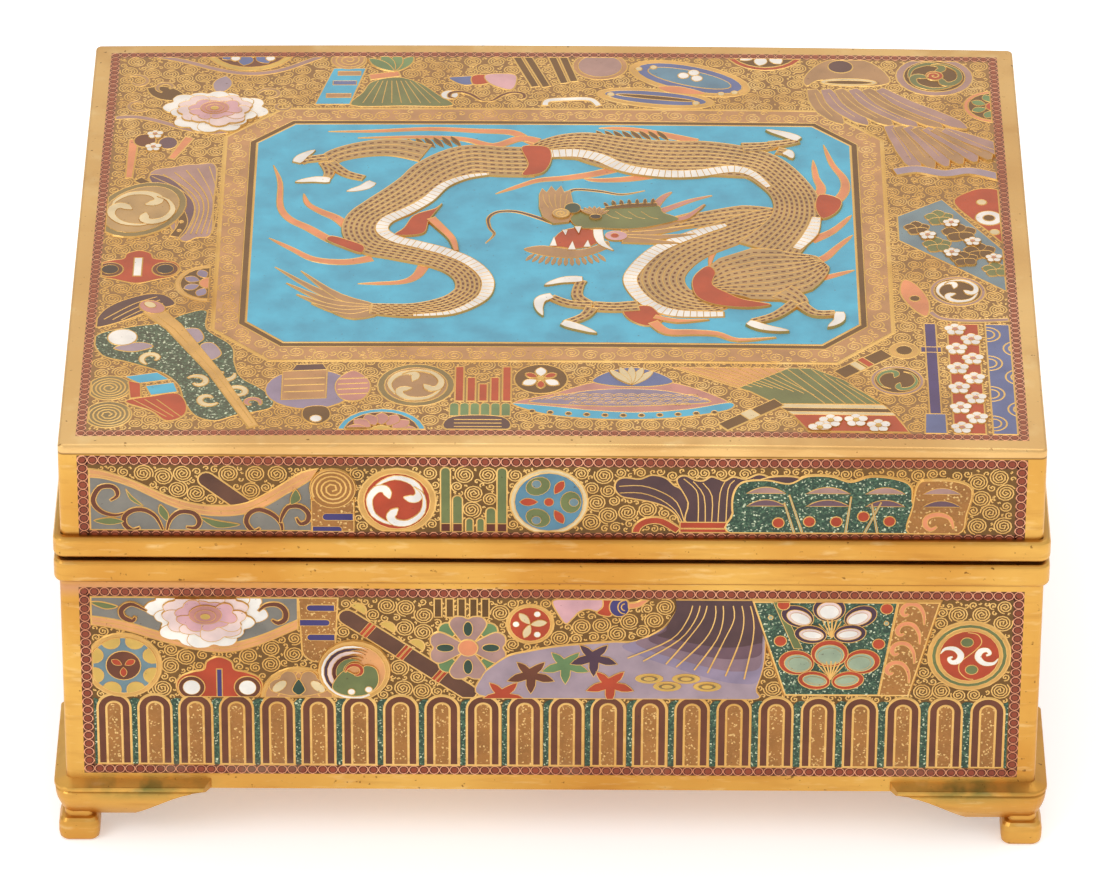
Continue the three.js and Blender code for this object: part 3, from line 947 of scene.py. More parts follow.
# %% The dragon: body from tail to haunch
rope(top, [(-23.5, -18.6), (-18, -19), (-13.5, -17.7), (-11, -15.2), (-10.4, -13), (-10.9, -10.4),
           (-12.4, -8.2), (-14.5, -6.6), (-17, -5.4), (-20.5, -4), (-23.7, -2.6), (-25, 0.6),
           (-24.4, 3.6), (-22.3, 6.3), (-19.8, 9.2), (-17.5, 12.2), (-15.2, 15.7), (-11.3, 18.6),
           (-7, 18.3), (-2.5, 18.2)],
     [2.4, 4.0, 4.4, 4.4, 4.5, 5.0, 5.2, 6.0, 6.6, 7.6, 7.4], 7)
ribs(top, [(-18, -20.3), (-13, -19.5), (-9.4, -16.4), (-8.4, -13), (-9, -10), (-11, -7), (-14, -4.7),
           (-17.5, -3), (-20.5, -1.6), (-22.3, 0.6), (-21.7, 3.2), (-19, 5.6), (-16.5, 8.4),
           (-14.4, 12), (-11.5, 14.2), (-8.5, 15)], [0.5, 1.7, 1.8, 1.7, 1.8, 1.6, 0.6])
for u in np.arange(-21.5, -11.5, 1.15):
    top.cell(leaf(u, 21.6 + 0.1 * (u + 20), 118, 3.0, 0.8), "umber", wire=0.16)
for u in np.arange(7.2, 15.5, 1.15):
    top.cell(leaf(u, 24.2, 122, 3.0, 0.8), "umber", wire=0.16)
rope(top, [(-2.2, 21), (0.5, 22), (4, 22.3), (8, 20.8), (12, 19.6), (16, 19.2), (20, 19.3),
           (24, 18.7), (27.4, 17.3), (30, 13.7), (31.7, 9.5), (31.8, 5), (30.5, 1), (27.8, -4)],
     [3.4, 6.0, 7.6, 8.8, 9.2, 9.0, 8.0, 6.6, 6.0, 6.2, 7.0, 8.5], 9)
ribs(top, [(-0.6, 20.2), (3, 20.4), (6, 19.3), (8.5, 17.2), (11, 16), (15, 15.2), (19, 15.4),
           (23.5, 16.6), (26.2, 15.4), (28.3, 12)], [2.0, 2.1, 2.0, 1.9, 1.8, 0.8])
ribs(top, [(34.4, 4.5), (33.6, 0.5), (31.6, -3.5)], [1.2, 1.9, 1.2])
top.cell(soft(-4.3, 21.7, -2.5, 22.3, -0.6, 21.6, -0.3, 18.5, -1.2, 15.6, -3, 14.6, -4.2, 14.8,
              -3.4, 17.5), "red")
rope(top, [(20.4, -12.6), (23.4, -11), (27.4, -9.8), (31.4, -8.6), (35, -6.6)],
     [3.5, 10.5, 13.0, 10.5, 3.0], 9)
top.cell(soft(17.9, -12.5, 18.4, -10, 20, -8, 21, -9.5, 20.6, -12.5, 22.6, -14.6, 24.5, -16,
              28, -17.2, 25, -18, 21, -17.4, 18.6, -15.6), "red")
for patch in (
    soft(-14.6, 7.3, -15.6, 6, -18.2, 4.4, -19.5, 1.2, -20.6, -0.6, -17, -0.2, -16.2, 3.2),
    soft(35, 10.3, 37.7, 9, 37.2, 6, 35.2, 4.2, 34.3, 7),
    soft(-25, -5, -27.3, -3.6, -29.5, -1.8, -28.8, -0.8, -26.4, -2, -24.6, -3.4),
    soft(9, -19, 10.4, -17.8, 12.4, -17.6, 13.6, -19.4, 14.2, -21, 12.2, -22.4, 10, -21.2),
):
    top.cell(patch, "red")
lashes(top, [(12.8, -21.5), (14.6, -23.8), (18, -23.9), (21, -24.2), (23.7, -25.6), (28.5, -24.9)], FLAME,
       "coral")
lashes(top, [(13, -20.2), (16, -21.2), (20, -20.8)], [0.9, 0.9, 0.1], "coral")
lashes(top, [(-16, 3.6), (-14.8, 1.5), (-13.2, -1.5), (-12.6, -4.5)], [1.3, 1.2, 1.0, 0.6], "coral")

# %% The dragon: feet
CLAW = [0.1, 0.8, 1.2, 1.5, 1.5, 1.1]
for limb, widths, tips in (
    ([(-17, 20.6), (-21, 22), (-25, 21.6), (-28.6, 20), (-30.2, 18)], [4.6, 4.4, 3.8, 3.2, 2.6],
     (([(-30, 19.4), (-32.6, 18.8), (-33.4, 18.2)], [(-34, 18), (-33.2, 19.6), (-31.6, 21.2)]),
      ([(-30.2, 18.2), (-29.6, 15.8), (-29.8, 14.2)], [(-29.4, 13.4), (-31.4, 13.6), (-34, 13)]),
      ([(-29.6, 18), (-27.4, 15.2), (-25, 14)], [(-23.8, 13.2), (-25, 11.8), (-27.2, 10.8)]))),
    ([(11, -17.6), (8, -18), (5.2, -17.8)], [2.4, 2.2, 2.2],
     (([(5, -17.8), (3.2, -15.6), (3.3, -13), (3.8, -11.6)], [(3.8, -11.3), (1.2, -11.6), (-1.1, -12.8)]),
      ([(5, -17.6), (2, -17.2), (-0.2, -15.7)], [(-0.1, -15.4), (-1.6, -16.4), (-1.8, -18.4),
                                                 (-1.3, -20.3)]),
      ([(5, -18.2), (4, -20.3), (1.6, -22)], [(1.2, -21.9), (3.2, -23), (5.6, -24.4)]))),
    ([(29.5, -14), (31.2, -15.6), (31.8, -17)], [4.0, 2.8, 2.2],
     (([(31.2, -16.6), (28.6, -19.8), (25.6, -21.4)], [(25, -21.6), (27.2, -22.9), (30.2, -23.6)]),
      ([(31.8, -17), (33.6, -19.2), (36.2, -19.2)], [(36.8, -19), (36.6, -21), (35.2, -22.6)]))),
    ([(25, 22.2), (28, 22.6), (30, 23.4)], [2.4, 2.0, 1.6],
     (([(28.6, 23), (31, 23.6), (32.4, 24.2)], [(32.6, 24.4), (30.8, 25.6), (28.2, 26.8)]),
      ([(29.6, 21.6), (30.8, 21.2)], [(30.6, 21.2), (31.2, 20.6), (31.6, 19.4)]))),
):
    rope(top, limb, widths, 3)
    for toe, claw in tips:
        rope(top, toe, [1.7, 1.4, 1.2], 2)
        top.strip(through(claw, steps=5), CLAW[::-1], "white", wire=0.2)

# %% The dragon: head
for strand in ([(9, 0.4), (13.4, 1.6), (18, 4.2)], [(9, -0.2), (13.4, 0.6), (18.4, 2.4)],
               [(9, -0.8), (13.7, -0.7), (18.6, 0.2)],
               [(9, -1.4), (13, -1.8), (16.4, -2.2)], [(9.6, 1.2), (14, 3), (19, 6)]):
    lashes(top, strand, [1.5, 1.3, 0.9, 0.1], "rosewood")
for horn in ([(13.2, 5.4), (14.9, 6.6), (17.9, 8.7), (20.8, 10.1)], [(13.2, 7), (14.3, 9.4), (15.5, 10.9)],
             [(13, 3.4), (16.7, 4), (18.2, 5.3), (19.8, 7.6)]):
    lashes(top, horn, [1.3, 1.1, 0.8, 0.2], "rose")
for whisker in ([(0, 2.8), (-2.2, 4.3), (-4.9, 5.7), (-7.3, 5.6), (-8.5, 4), (-8.3, 1.6), (-7.7, 0),
                 (-8.8, -2.2)],
                [(1.8, 8), (1.9, 10.4), (3, 11.4), (6, 11), (9, 10.2), (12, 11.2)]):
    lashes(top, whisker, [0.7, 0.6, 0.5, 0.5, 0.4, 0.1], "plum")
for i in range(13):
    root = (-2.4 + 0.68 * i, -4.7 - 0.9 * math.sin(math.pi * i / 12))
    top.cell(leaf(*root, 238 + 5 * i, 2.2, 0.55), "rosewood", wire=0.15)
top.cell(soft(-3.8, -3.7, -1.8, -2.9, 0.4, -3.2, 3, -3.9, 5.4, -2.9, 7, -1.6, 7.2, -3, 5.8, -4.4,
              3, -5.8, 0, -5.6, -2.4, -4.8),
         "rosewood", wire=0.2)
top.cell(soft(-0.2, -3, 0.2, -0.8, 1.4, 1, 3.4, 1.6, 5.6, 0.8, 6.2, -1, 5, -2.8, 2.8, -3.6, 1, -3.2), "red",
         wire=0.2)
top.cell(soft(2.2, 3.4, 3, 5.2, 5, 6.1, 7.4, 6.4, 10, 6.9, 13.6, 7.2, 14.4, 5.4, 16.4, 3.8, 13.5, 2.2,
              11, 1.4, 8.6, 1.2, 6, 1.4, 3.6, 1.4), "moss", wire=0.2)
top.strip(soft(6.8, 6.4, 10, 7, 13.6, 7.4, closed=False), [0.5, 1.1, 0.8], "umber", wire=0.16)
for i in range(7):
    top.cell(leaf(7.2 + 0.95 * i, 6.8 + 0.1 * i, 112 - 5 * i, 1.5, 0.5), "umber", wire=0.14)
for i in range(4):
    top.thread(soft(6.4 + 1.7 * i, 5.6, 7.6 + 1.7 * i, 4.2, 8.6 + 1.7 * i, 3.8, closed=False), 0.14)
for i in range(7):
    top.cell(leaf(5.4, 4.2, 40 + 17 * i, 2.5, 0.6), "rosewood", wire=0.15)
top.disc(5.5, 3.9, 0.8, "ink", rv=0.6, wire=0.2, count=12)
top.cell(hard(-1.9, 9.8, -1.5, 11.3, -0.9, 10.3, -0.3, 11.9, 0.3, 10.6, 1, 12, 1.4, 10.4, 2.2, 10.9,
              2.5, 8.2, 2.7, 5.2, 2, 2.8, 0, 2.4, -1.4, 4, -1.9, 6.6), "rosewood", wire=0.2)
for i in range(5):
    top.thread(soft(-1.4 + 0.8 * i, 9.8, -1.2 + 0.7 * i, 8, -0.6 + 0.5 * i, 6.4, closed=False), 0.14)
top.disc(2.5, 6, 1.1, "forest", rv=1.3, wire=0.2, count=14)
coil(top, 1, 4.6, 1.15, "scale", 2.0)
for u, v, wide, d in ((0, -3, 0.5, 2.4), (2.4, -3.9, 0.55, 2.2), (4.4, -3.2, 0.5, 1.8),
                      (3.2, 1.7, 0.5, -1.8), (1.5, 1, 0.4, -1.4)):
    top.cell(hard(u - wide, v, u + wide, v, u + 0.1, v + d), "white", wire=0.14)
top.disc(8.2, -0.5, 1.5, "pink", rv=1.2, wire=0.2, count=18)
top.disc(8.0, -0.5, 0.55, "red", wire=0.14, count=10)
top.strip(soft(5.8, 1.2, 5.9, -0.6, 6.4, -2.4, 7.8, -4, closed=False), [1.3, 1.3, 1.0, 0.1], "white",
          wire=0.18)
print("dragon drawn, panes so far:", len(top.laid))

# %% Lid top, left side: peony, drum, cloud
for line in (soft(-59, 47.5, -55, 47.2, -50, 45.5, -45, 43, -41, 42, -37, 42.8, -33, 45.5, -30, 47.8,
                  closed=False),
             soft(-59, 30.2, -56, 30.5, -53, 29.5, -49, 27.3, -45.5, 26.3, -43.5, 26.6, closed=False)):
    top.strip(line, 0.9, "mauve", wire=0.22)
half_flower(top, -41, 49, 6.2, None, "yellow", "blue", "brown", "brown", 9)
dots(top, ((-43, 46), (-40.6, 47), (-38.3, 46)), 0.7, "white")
top.cell(leaf(-49, 35, 150, 6.5, 3.4), "umber")
top.cell(leaf(-45, 36.5, 80, 5.0, 2.6), "lilac")
peony(top, -45.3, 31.8, 0.96, flat=0.84)
for line in (hard(-56, 14.6, -55.8, 24.5), hard(-50.6, 19.5, -48.4, 25)):
    top.strip(line, [0.9, 1.2, 1.3], "coral")
top.disc(-54.3, 24.2, 1.5, "brown", rv=1.7, count=16)
top.disc(-51.2, 23.6, 1.3, "dusk", rv=1.6, count=16)
plum_blossom(top, -53, 25.8, 1.1, "white", "rose")
plum_blossom(top, -53.1, 22.4, 1.1, "white", "rose")
barrel = soft(-53.4, 14.6, -50, 17.4, -47, 18, -44.6, 17.4, -44.6, 8, -44.6, 0.4, -46.4, -0.6, -49, -0.5)
top.cell(barrel, "mauve")
top.cell(soft(-53.4, 14.6, -50.6, 14.4, -47.4, 9, -47, 4, -48.4, -0.4, -49.4, -0.4, -49.6, 6), "dusk")
for k in range(6):
    top.thread(soft(-53 + 1.5 * k, 14.9 + 0.5 * k, -48.4 + 0.85 * k, 10.6, -47 + 0.6 * k, 6.2,
                    -48 + 0.7 * k, 0.2, closed=False), 0.2)
top.strip(soft(-54.8, 14.2, -52, 11.2, -49.4, 7, -48.4, 3, -49.4, -0.5, closed=False), 1.3, "umber")
dots(top, ((-53.2, 12.6), (-51.2, 10), (-49.9, 7.8), (-49.1, 5.6), (-48.6, 3.2), (-48.8, 1)), 0.32, "gold")
top.disc(-54, 6.3, 7.2, "olive", rv=5.5, turned=62)
top.disc(-54, 6.3, 6.2, "scale", rv=4.6, turned=62)
for k in range(3):
    top.cell(comma(-54, 6.3, 4.6, 40 + 120 * k), "cream", wire=0.16)
for u, v, r, start in ((-56, 40, 1.8, 0), (-52, 38.4, 1.5, 120), (-55.6, 33.6, 1.8, 200),
                       (-38, 36.4, 1.8, 60), (-36.4, 33.2, 1.3, 250)):
    scroll(top, u, v, r, "rosewood", start, width=0.6)
cloud(top, -53.8, -7.9, 1.02)
half_flower(top, -44.4, -12, 4.4, (-1, 0, 44.4), "gold", "lavender", "umber", "coral", 8)

# %% Lid top, front left: brush, staff, fan, jewels
top.cell(soft(-58.6, -22.4, -58, -19, -56, -16.5, -52.5, -14.6, -50, -14.8, -48.6, -17, -51, -18.2,
              -52.6, -19.2, -55.5, -21.2), "plum")
for k in range(5):
    top.thread(soft(-51 + 0.4 * k, -15.2 - 0.8 * k, -54 + 0.6 * k, -17 - 0.7 * k, -57.6 + 1.1 * k,
                    -20.6 - 0.1 * k,
                    closed=False), 0.24)
top.cell(soft(-58.4, -24.5, -57.5, -29, -54, -30.8, -50, -33, -47.5, -36, -46.5, -40, -45, -43.3,
              -42.5, -44.5, -40, -43.3, -37.5, -42.5, -35.5, -41.5, -35.3, -39.5, -37, -37,
              -39.5, -34.5, -40.5, -31, -41, -27, -44.3, -23, -44.5, -18.6, -47.5, -19.5, -50, -21.5,
              -54, -22.4), "forest", kind="green")
for cloudlet in (soft(-56, -27.6, -53.5, -28.4, -51, -27.2, -52.4, -26.2, -54.6, -26.6),
                 soft(-47.4, -23.4, -45.4, -23, -44.6, -25.4, -46.2, -26.6),
                 soft(-45, -27, -43.4, -26.4, -42.2, -29, -43.8, -30.4)):
    top.cell(cloudlet, "lilac")
for u, v, start in ((-45, -35.5, 20), (-43.5, -39.6, 200), (-39.8, -38, 60), (-41.8, -34, 250),
                    (-51, -30, 120)):
    scroll(top, u, v, 1.5, "cream", start, width=0.8)
scroll(top, -38, -40.4, 1.2, "rose", 100, -1, 0.7)
top.disc(-55, -25, 1.9, "white")
top.strip([(-51.6, -18.4), (-48.6, -22.4), (-43, -33.2), (-37.6, -45.9)], [2.6, 2.2, 1.6, 1.3], "gold")
top.thread([(-50.8, -20), (-48.4, -23.2), (-42.9, -33.4), (-37.7, -45.2)], 0.2)
top.disc(-51.5, -17.8, 1.9, "rose", rv=1.4, turned=-40)
top.disc(-51.8, -17.3, 0.9, "cream", rv=0.6, turned=-40, wire=0.2)
coil(top, -56.1, -36.8, 2.8, "olive", 5)
coil(top, -56, -43, 3.0, "olive", 5)
top.cell(hard(-54.3, -34.2, -50.2, -33.2, -48.6, -34.9, -52.4, -35.8), "turquoise")
top.cell(hard(-53.8, -35.2, -52.2, -35.8, -52, -39, -53.4, -39.3), "red")
top.cell(hard(-51.6, -36.4, -48, -35.6, -47.4, -37.8, -50.8, -38.6), "turquoise")
top.cell(soft(-54, -40, -50.5, -38.8, -47.5, -38.2, -46.2, -40.8, -46.5, -43.4, -48.6, -44.5,
              -50.6, -42.2), "red")
for k in range(3):
    top.thread([(-53 + 1.5 * k, -39.6), (-48.6 + 0.9 * k, -43.6)], 0.2)
top.disc(-30.8, -37.3, 5.6, "lavender", rv=4.6)
top.cell(hard(-34.3, -33.2, -28.6, -32.8, -28.6, -39.4, -34.3, -39.8), "tan")
for v in (-35, -36.5, -38):
    top.thread([(-34, v), (-28.9, v + 0.3)], 0.35)
top.cell(hard(-32.6, -31.6, -29.2, -31.4, -28.6, -32.8, -33.2, -33.1), "plum")
top.cell(soft(-31.2, -41.6, -28.6, -41.4, -28, -43.8, -29.6, -45.4, -31.4, -44), "umber")
dots(top, ((-29.8, -44.2),), 0.8, "white")
jewel = soft(-25.3, -33, -23.4, -35, -23.1, -37.5, -24.2, -39.8, -26.4, -39.8, -27.5, -37.5, -27.2, -35)
top.cell(jewel, "rose")
for k in range(4):
    top.thread([(-27.2, -35 - 1.2 * k), (-23.4, -34.7 - 1.2 * k)], 0.35)
badge(top, -17.3, -36.3, 4.9, "olive", "rosewood", "cream", rim=0.18)
half_flower(top, -21.5, -47.4, 5.6, None, "turquoise", "rose", "brown", "yellow", 14)

# %% Lid top, front middle: organ pipes, badge, hat
for u, high in ((-11.8, -32), (-10.3, -34.5), (-8.8, -36), (-7.3, -34.5), (-5.8, -32)):
    top.strip([(u, -40), (u, high)], 1.1, "red")
for k in range(6):
    u = -12.4 + 1.3 * k
    top.cell([(u - 0.6, -43.4), (u + 0.6, -43.4), (u + 0.6, -41),
              *oval(u, -41, 0.6, start=0, end=180, count=12)],
             "green", wire=0.22)
top.cell(soft(-12.6, -43.6, -6.4, -43.6, -5.8, -46.6, -13.2, -46.6), "plum")
for k in range(3):
    top.thread([(-12.4, -44.3 - 0.8 * k), (-6.4, -44.3 - 0.8 * k)], 0.25)
top.disc(-1.5, -34.8, 3.4, "umber")
bloom(top, -1.5, -34.8, 3, 2.7, 1.5, "white", "brown")
bloom(top, -1.5, -34.8, 3, 2.3, 1.1, "red", "yellow", start=30)
crown = soft(5, -35.3, 7, -33.1, 10, -32, 13, -33, 15.3, -35.3, 12.5, -36.4, 8, -36.4)
top.cell(soft(-5, -40.4, 0, -38.2, 5, -35.6, 10, -35, 15.3, -35.5, 20, -38, 22.3, -40.6, 18, -42.8,
              12, -43.6, 5, -43.2, -1, -42.2), "rose")
top.cell(soft(-5.2, -40.6, -1, -41, 5, -42, 11, -42.4, 17, -41.6, 22.4, -40, 22, -41.8, 15, -43.7,
              7, -44.1, -0.5, -43.1), "turquoise")
dots(top, [(-2.6 + 2.3 * k, -42.2 - 1.0 * math.sin(math.pi * (k + 0.5) / 11)) for k in range(11)], 0.42,
     "umber")
top.cell(soft(-3, -40.2, 1, -38.6, 5, -37.4, 10, -37, 15, -37.6, 20, -39.8, 15, -40.6, 10, -41,
              5, -41), "lavender")
for row, low, high in ((0, 1, 18), (1, -1, 20), (2, 2, 17)):
    for u in np.arange(low + 0.5 * row, high, 1.5):
        for r in (0.9, 0.5):
            top.thread(oval(u, -38.9 - 0.9 * row, r, 0.8 * r, start=0, end=180, count=14), 0.15)
top.cell(crown, "blue")
for k in range(5):
    top.cell(leaf(10, -36.2, 50 + 20 * k, 4.4, 1.1), "cream", wire=0.2)

# %% Lid top, front right: folding fan, flutes, rings
fan = hard(15, -31.8, 33, -31.8, 37, -34.5, 40, -38, 42.2, -40.6, 44, -44, 45, -46.9, 32.5, -46.9,
           30.5, -43, 28, -40, 25, -37.4, 20, -34.6)
top.cell(fan, "peach")
top.cell(hard(23.5, -36.6, 30, -31.8, 33, -31.8, 37, -34.5, 40, -38, 41.6, -40, 28.2, -40.2,
              25, -37.4), "moss")
for k in range(15):
    start = 15.8 + 1.55 * k
    end = 24 + 1.3 * k
    top.thread([(start, -32 if k < 12 else -32 - 1.2 * (k - 11)),
                (end, min(-35.5 - 0.37 * k, -36.4) if k < 8 else -40)], 0.2)
for top_v, tone, down in ((-40.2, "cream", 0.9), (-41.1, "umber", 0.9), (-42.0, "cream", 0.7)):
    left, right = 28 + 0.9 * (-40.2 - top_v), 41.8 + 0.6 * (-40.2 - top_v)
    top.cell(hard(left, top_v, right, top_v, right + 0.6 * down, top_v - down, left + 0.9 * down,
                  top_v - down), tone, wire=0.2)
top.cell(hard(30.2, -42.7, 43.2, -42.7, 45, -46.9, 32.4, -46.9), "red")
for u, v in ((35, -44.2), (41, -45.2), (38.2, -44), (33.6, -46)):
    plum_blossom(top, u, v, 1.5, "white", "yellow")
top.strip([(21.4, -45.7), (28.6, -39.8)], 1.9, "umber")
top.strip([(24.2, -43.4), (25.6, -42.2)], 2.0, "cream")
top.strip([(36.4, -33.2), (42.6, -27.9)], 2.2, "umber")
top.strip([(38.4, -31.5), (39.2, -30.8)], 2.3, "cream")
top.strip([(39.4, -30.6), (40.2, -29.9)], 2.3, "red")
badge(top, 43.7, -34.4, 3.4, "mauve", "umber", "green", count=2)
top.disc(44.8, -27.3, 1.9, "gold")
top.disc(44.8, -27.3, 1.1, "umber")

# %% Lid top, right side: books, spindle, badge, landscape
for u, low, high, width, tone in ((48.3, -42, -20.8, 1.5, "indigo"), (52.5, -46.7, -20.8, 4.0, "red"),
                                  (57.4, -46.7, -20.8, 4.0, "blue")):
    top.strip([(u, low), (u, high)], width, tone)
top.cell(hard(47, -42, 49.6, -42, 49.6, -46.7, 46.8, -46.7), "blue")
top.strip([(46.9, -27), (49.6, -27)], 1.3, "indigo")
for k in range(11):
    plum_blossom(top, 51.5 + 2.0 * (k % 2), -22.2 - 2.3 * k, 1.4, "white", "rose")
for side, places in ((55.5, (-23.2, -30, -37.2, -44)), (59.2, (-26.5, -33.2, -40.7))):
    for v in places:
        half = (90, -90) if side < 57 else (90, 270)
        for r in (1.7, 1.0):
            top.thread(oval(side, v, r, start=half[0], end=half[1]), 0.3)
top.cell(soft(45.3, -10.3, 47, -11.6, 48.4, -15.4, 48, -19, 46.2, -17.2, 44.8, -13.6), "coral")
top.disc(46.6, -14.8, 0.7, "umber")
badge(top, 52.2, -12.9, 3.6, "mauve", "umber", "white", start=100, count=3)
top.strip(soft(48.5, -18, 50, -19.6, 54, -20, 59, -19.5, closed=False), 0.7, "mauve", wire=0.2)
top.cell(hard(45, 5.5, 51, 10, 59.4, -4, 59.4, -13.5, 45, -0.5), "teal")
for u, v, r, tone in ((47.5, 2.5, 1.8, "umber"), (50.5, 5.2, 2.0, "moss"), (53, 1.5, 2.4, "umber"),
                      (50, -1.6, 2.0, "moss"),
                      (55.5, -3, 2.2, "umber"), (57.4, -7.5, 1.9, "moss"), (53.4, -5.2, 1.9, "umber")):
    for k in range(5):
        top.cell(leaf(u, v, 25 + 72 * k, r, 0.9 * r), tone, wire=0.2)
for u, v in ((48.8, 0.6), (52, 3.8), (54.6, -0.8), (57.2, -4.8), (51.8, -3.6)):
    plum_blossom(top, u, v, 1.1, "white", "rose")
top.cell(soft(52.6, 9, 54.5, 12, 57, 13, 59.3, 11.6, 59.4, 5, 59.3, -1.4, 56.6, 2.4), "red")
top.disc(57, 5.4, 1.8, "white")
top.disc(57, 5.4, 0.8, "umber")
dots(top, ((57.6, 1.9), (56.2, 9.4)), 0.7, "cream")

# %% Lid top, back right: bell, feathered robe, wheels
top.cell(soft(36, 41, 34, 39.4, 33.6, 41.4, 35.4, 45, 38.4, 47, 42, 46.4, 44.4, 43.6, 45, 40.4,
              41, 39.4), "rosewood")
top.disc(38.6, 44.6, 1.7, "plum")
top.disc(39.6, 40.4, 3.8, "cream", rv=1.0)
top.disc(39.6, 40.3, 3.2, "umber", rv=0.5, wire=0.2)
for k in range(6):
    lashes(top, [(34.6 + 1.8 * k, 38.4), (35.6 + 2.3 * k, 34.4), (37.2 + 3.1 * k, 31.4 - 0.25 * k),
                 (38.6 + 3.3 * k, 29.2 - 0.2 * k)],
           [1.4, 2.4, 2.7, 2.2, 0.3], ("rosewood", "mauve")[k % 2])
    top.thread(soft(35 + 1.8 * k, 37.4, 35.8 + 2.3 * k, 34, 37.2 + 3 * k, 31.2 - 0.2 * k, closed=False),
               0.16)
for k in range(7):
    lashes(top, [(44.6 + 1.2 * k, 28.8 - 0.2 * k), (46 + 1.7 * k, 24.6), (47.2 + 1.9 * k, 20.4 + 0.4 * k),
                 (48.2 + 1.9 * k, 17 + 0.6 * k)],
           [1.4, 2.4, 2.7, 2.4, 0.6], ("mauve", "rosewood")[k % 2])
    top.thread(soft(45 + 1.2 * k, 27.8, 46.2 + 1.7 * k, 24, 47.3 + 1.9 * k, 20 + 0.4 * k, closed=False),
               0.16)
top.strip(soft(45, 16.6, 48, 17.4, 51.6, 16.4, 55, 17.2, 59.2, 15.6, closed=False), 1.7, "lilac")
badge(top, 51.2, 42.3, 5.2, "mauve", "umber", "moss", count=3, start=60, rim=0.2)
coil(top, 51.2, 42.3, 1.2, "red", 1.5)
half_flower(top, 59, 34.4, 4.2, None, "coral", "green", "umber", "red", 8)

# %% Lid top, back middle: flowers, gourds, brush, bag
half_flower(top, 28.4, 48.8, 5.4, None, "red", "white", "umber", "red", 9)
for u, v, ru, rv, tilt in ((18.2, 41, 8.6, 4.0, -22), (13.6, 35.6, 8.0, 2.5, -9)):
    for slimmer, tone in ((0, "gold"), (0.8, "blue"), (2.0, "azure" if rv > 3 else "umber")):
        top.disc(u, v, ru - 1.3 * slimmer, tone, rv=rv - slimmer, turned=tilt)
dots(top, ((17.4, 41.6), (19.2, 40.9), (18.8, 42.4)), 0.8, "white")
dots(top, ((11.4, 43.4), (13.4, 43.8), (22.4, 36.8), (24.2, 37.2), (7.6, 36.4), (19, 34.2)), 0.5, "cream")
top.cell(soft(14, 38.6, 17, 38.6, 20.4, 36.8, 17.6, 36.6, 15, 37.2), "coral")
top.disc(6.2, 44.2, 3.7, "tan")
top.disc(6.2, 44.2, 3.0, "mauve", wire=0.2)
for a, b in (((-5.5, 48), (-2.5, 38.5)), ((-4, 48), (-1, 38.5)), ((-0.6, 48), (1.4, 39.5)),
             ((0.9, 48), (2.7, 40))):
    top.strip([a, b], 1.1, "umber")
top.cell(soft(-14.2, 40.8, -12.6, 41.2, -10.8, 41.2, -10.8, 39.2, -12.4, 39), "blue")
top.cell(soft(-11, 41.3, -9, 41.6, -8.6, 39.6, -10.8, 39), "red")
top.cell(soft(-9.2, 41.6, -5.6, 41.8, -5, 40.2, -5.8, 37.6, -8.6, 39.2), "pink")
top.strip(soft(-1.2, 33.5, -0.8, 34.8, 1.6, 35.2, 4.8, 35.2, 6, 33.5, closed=False), 0.9, "white")
top.cell(hard(-32, 33.7, -29.7, 43.4, -25.3, 43.4, -27.3, 33.7), "turquoise")
for v, tone in ((36, "tan"), (39.4, "blue"), (42, "tan")):
    top.strip([(-31 + 0.24 * (v - 34), v), (-27.6 + 0.2 * (v - 34), v)], 1.1, tone, wire=0.2)
top.cell(soft(-27, 33.4, -25.6, 37, -24.4, 39.8, -21, 41, -18, 39.4, -15.6, 36.4, -13.6, 33.4,
              -20, 33.3), "moss")
for k in range(9):
    top.thread([(-23.6 + 0.6 * k, 40), (-25.6 + 1.3 * k, 34)], 0.16)
top.strip([(-24.8, 41), (-20.8, 42)], 1.4, "coral")
for a in (60, 85, 110, 135):
    top.cell(leaf(-21.5, 42.4, a, 5, 1.8), "green")
top.disc(-14, 36.2, 1.2, "white")
for side in (1, -1):
    vine(top, soft(*[n for u, v in ((4.2, 35.2), (5, 35.6), (4.8, 36.7), (3.4, 37), (2, 36.2),
                                    (0.9, 34.9), (0, 34.6))
                     for n in (-9 + side * u, v)], closed=False, steps=3), "brown", 0.6)
coil(top, -27.7, 45.6, 2.4, "tan", 3)
print("lid top drawn, panes so far:", len(top.laid))

# %% [markdown]
# ## Pictures on the walls
# The front carries the same kind of scattered treasures: a swag, badges, a sheaf, a stream with
# maple leaves, and along the foot a row of tall arches. The other three walls can't be seen in the
# photograph. They repeat these motifs more simply.

# %% Wall motifs


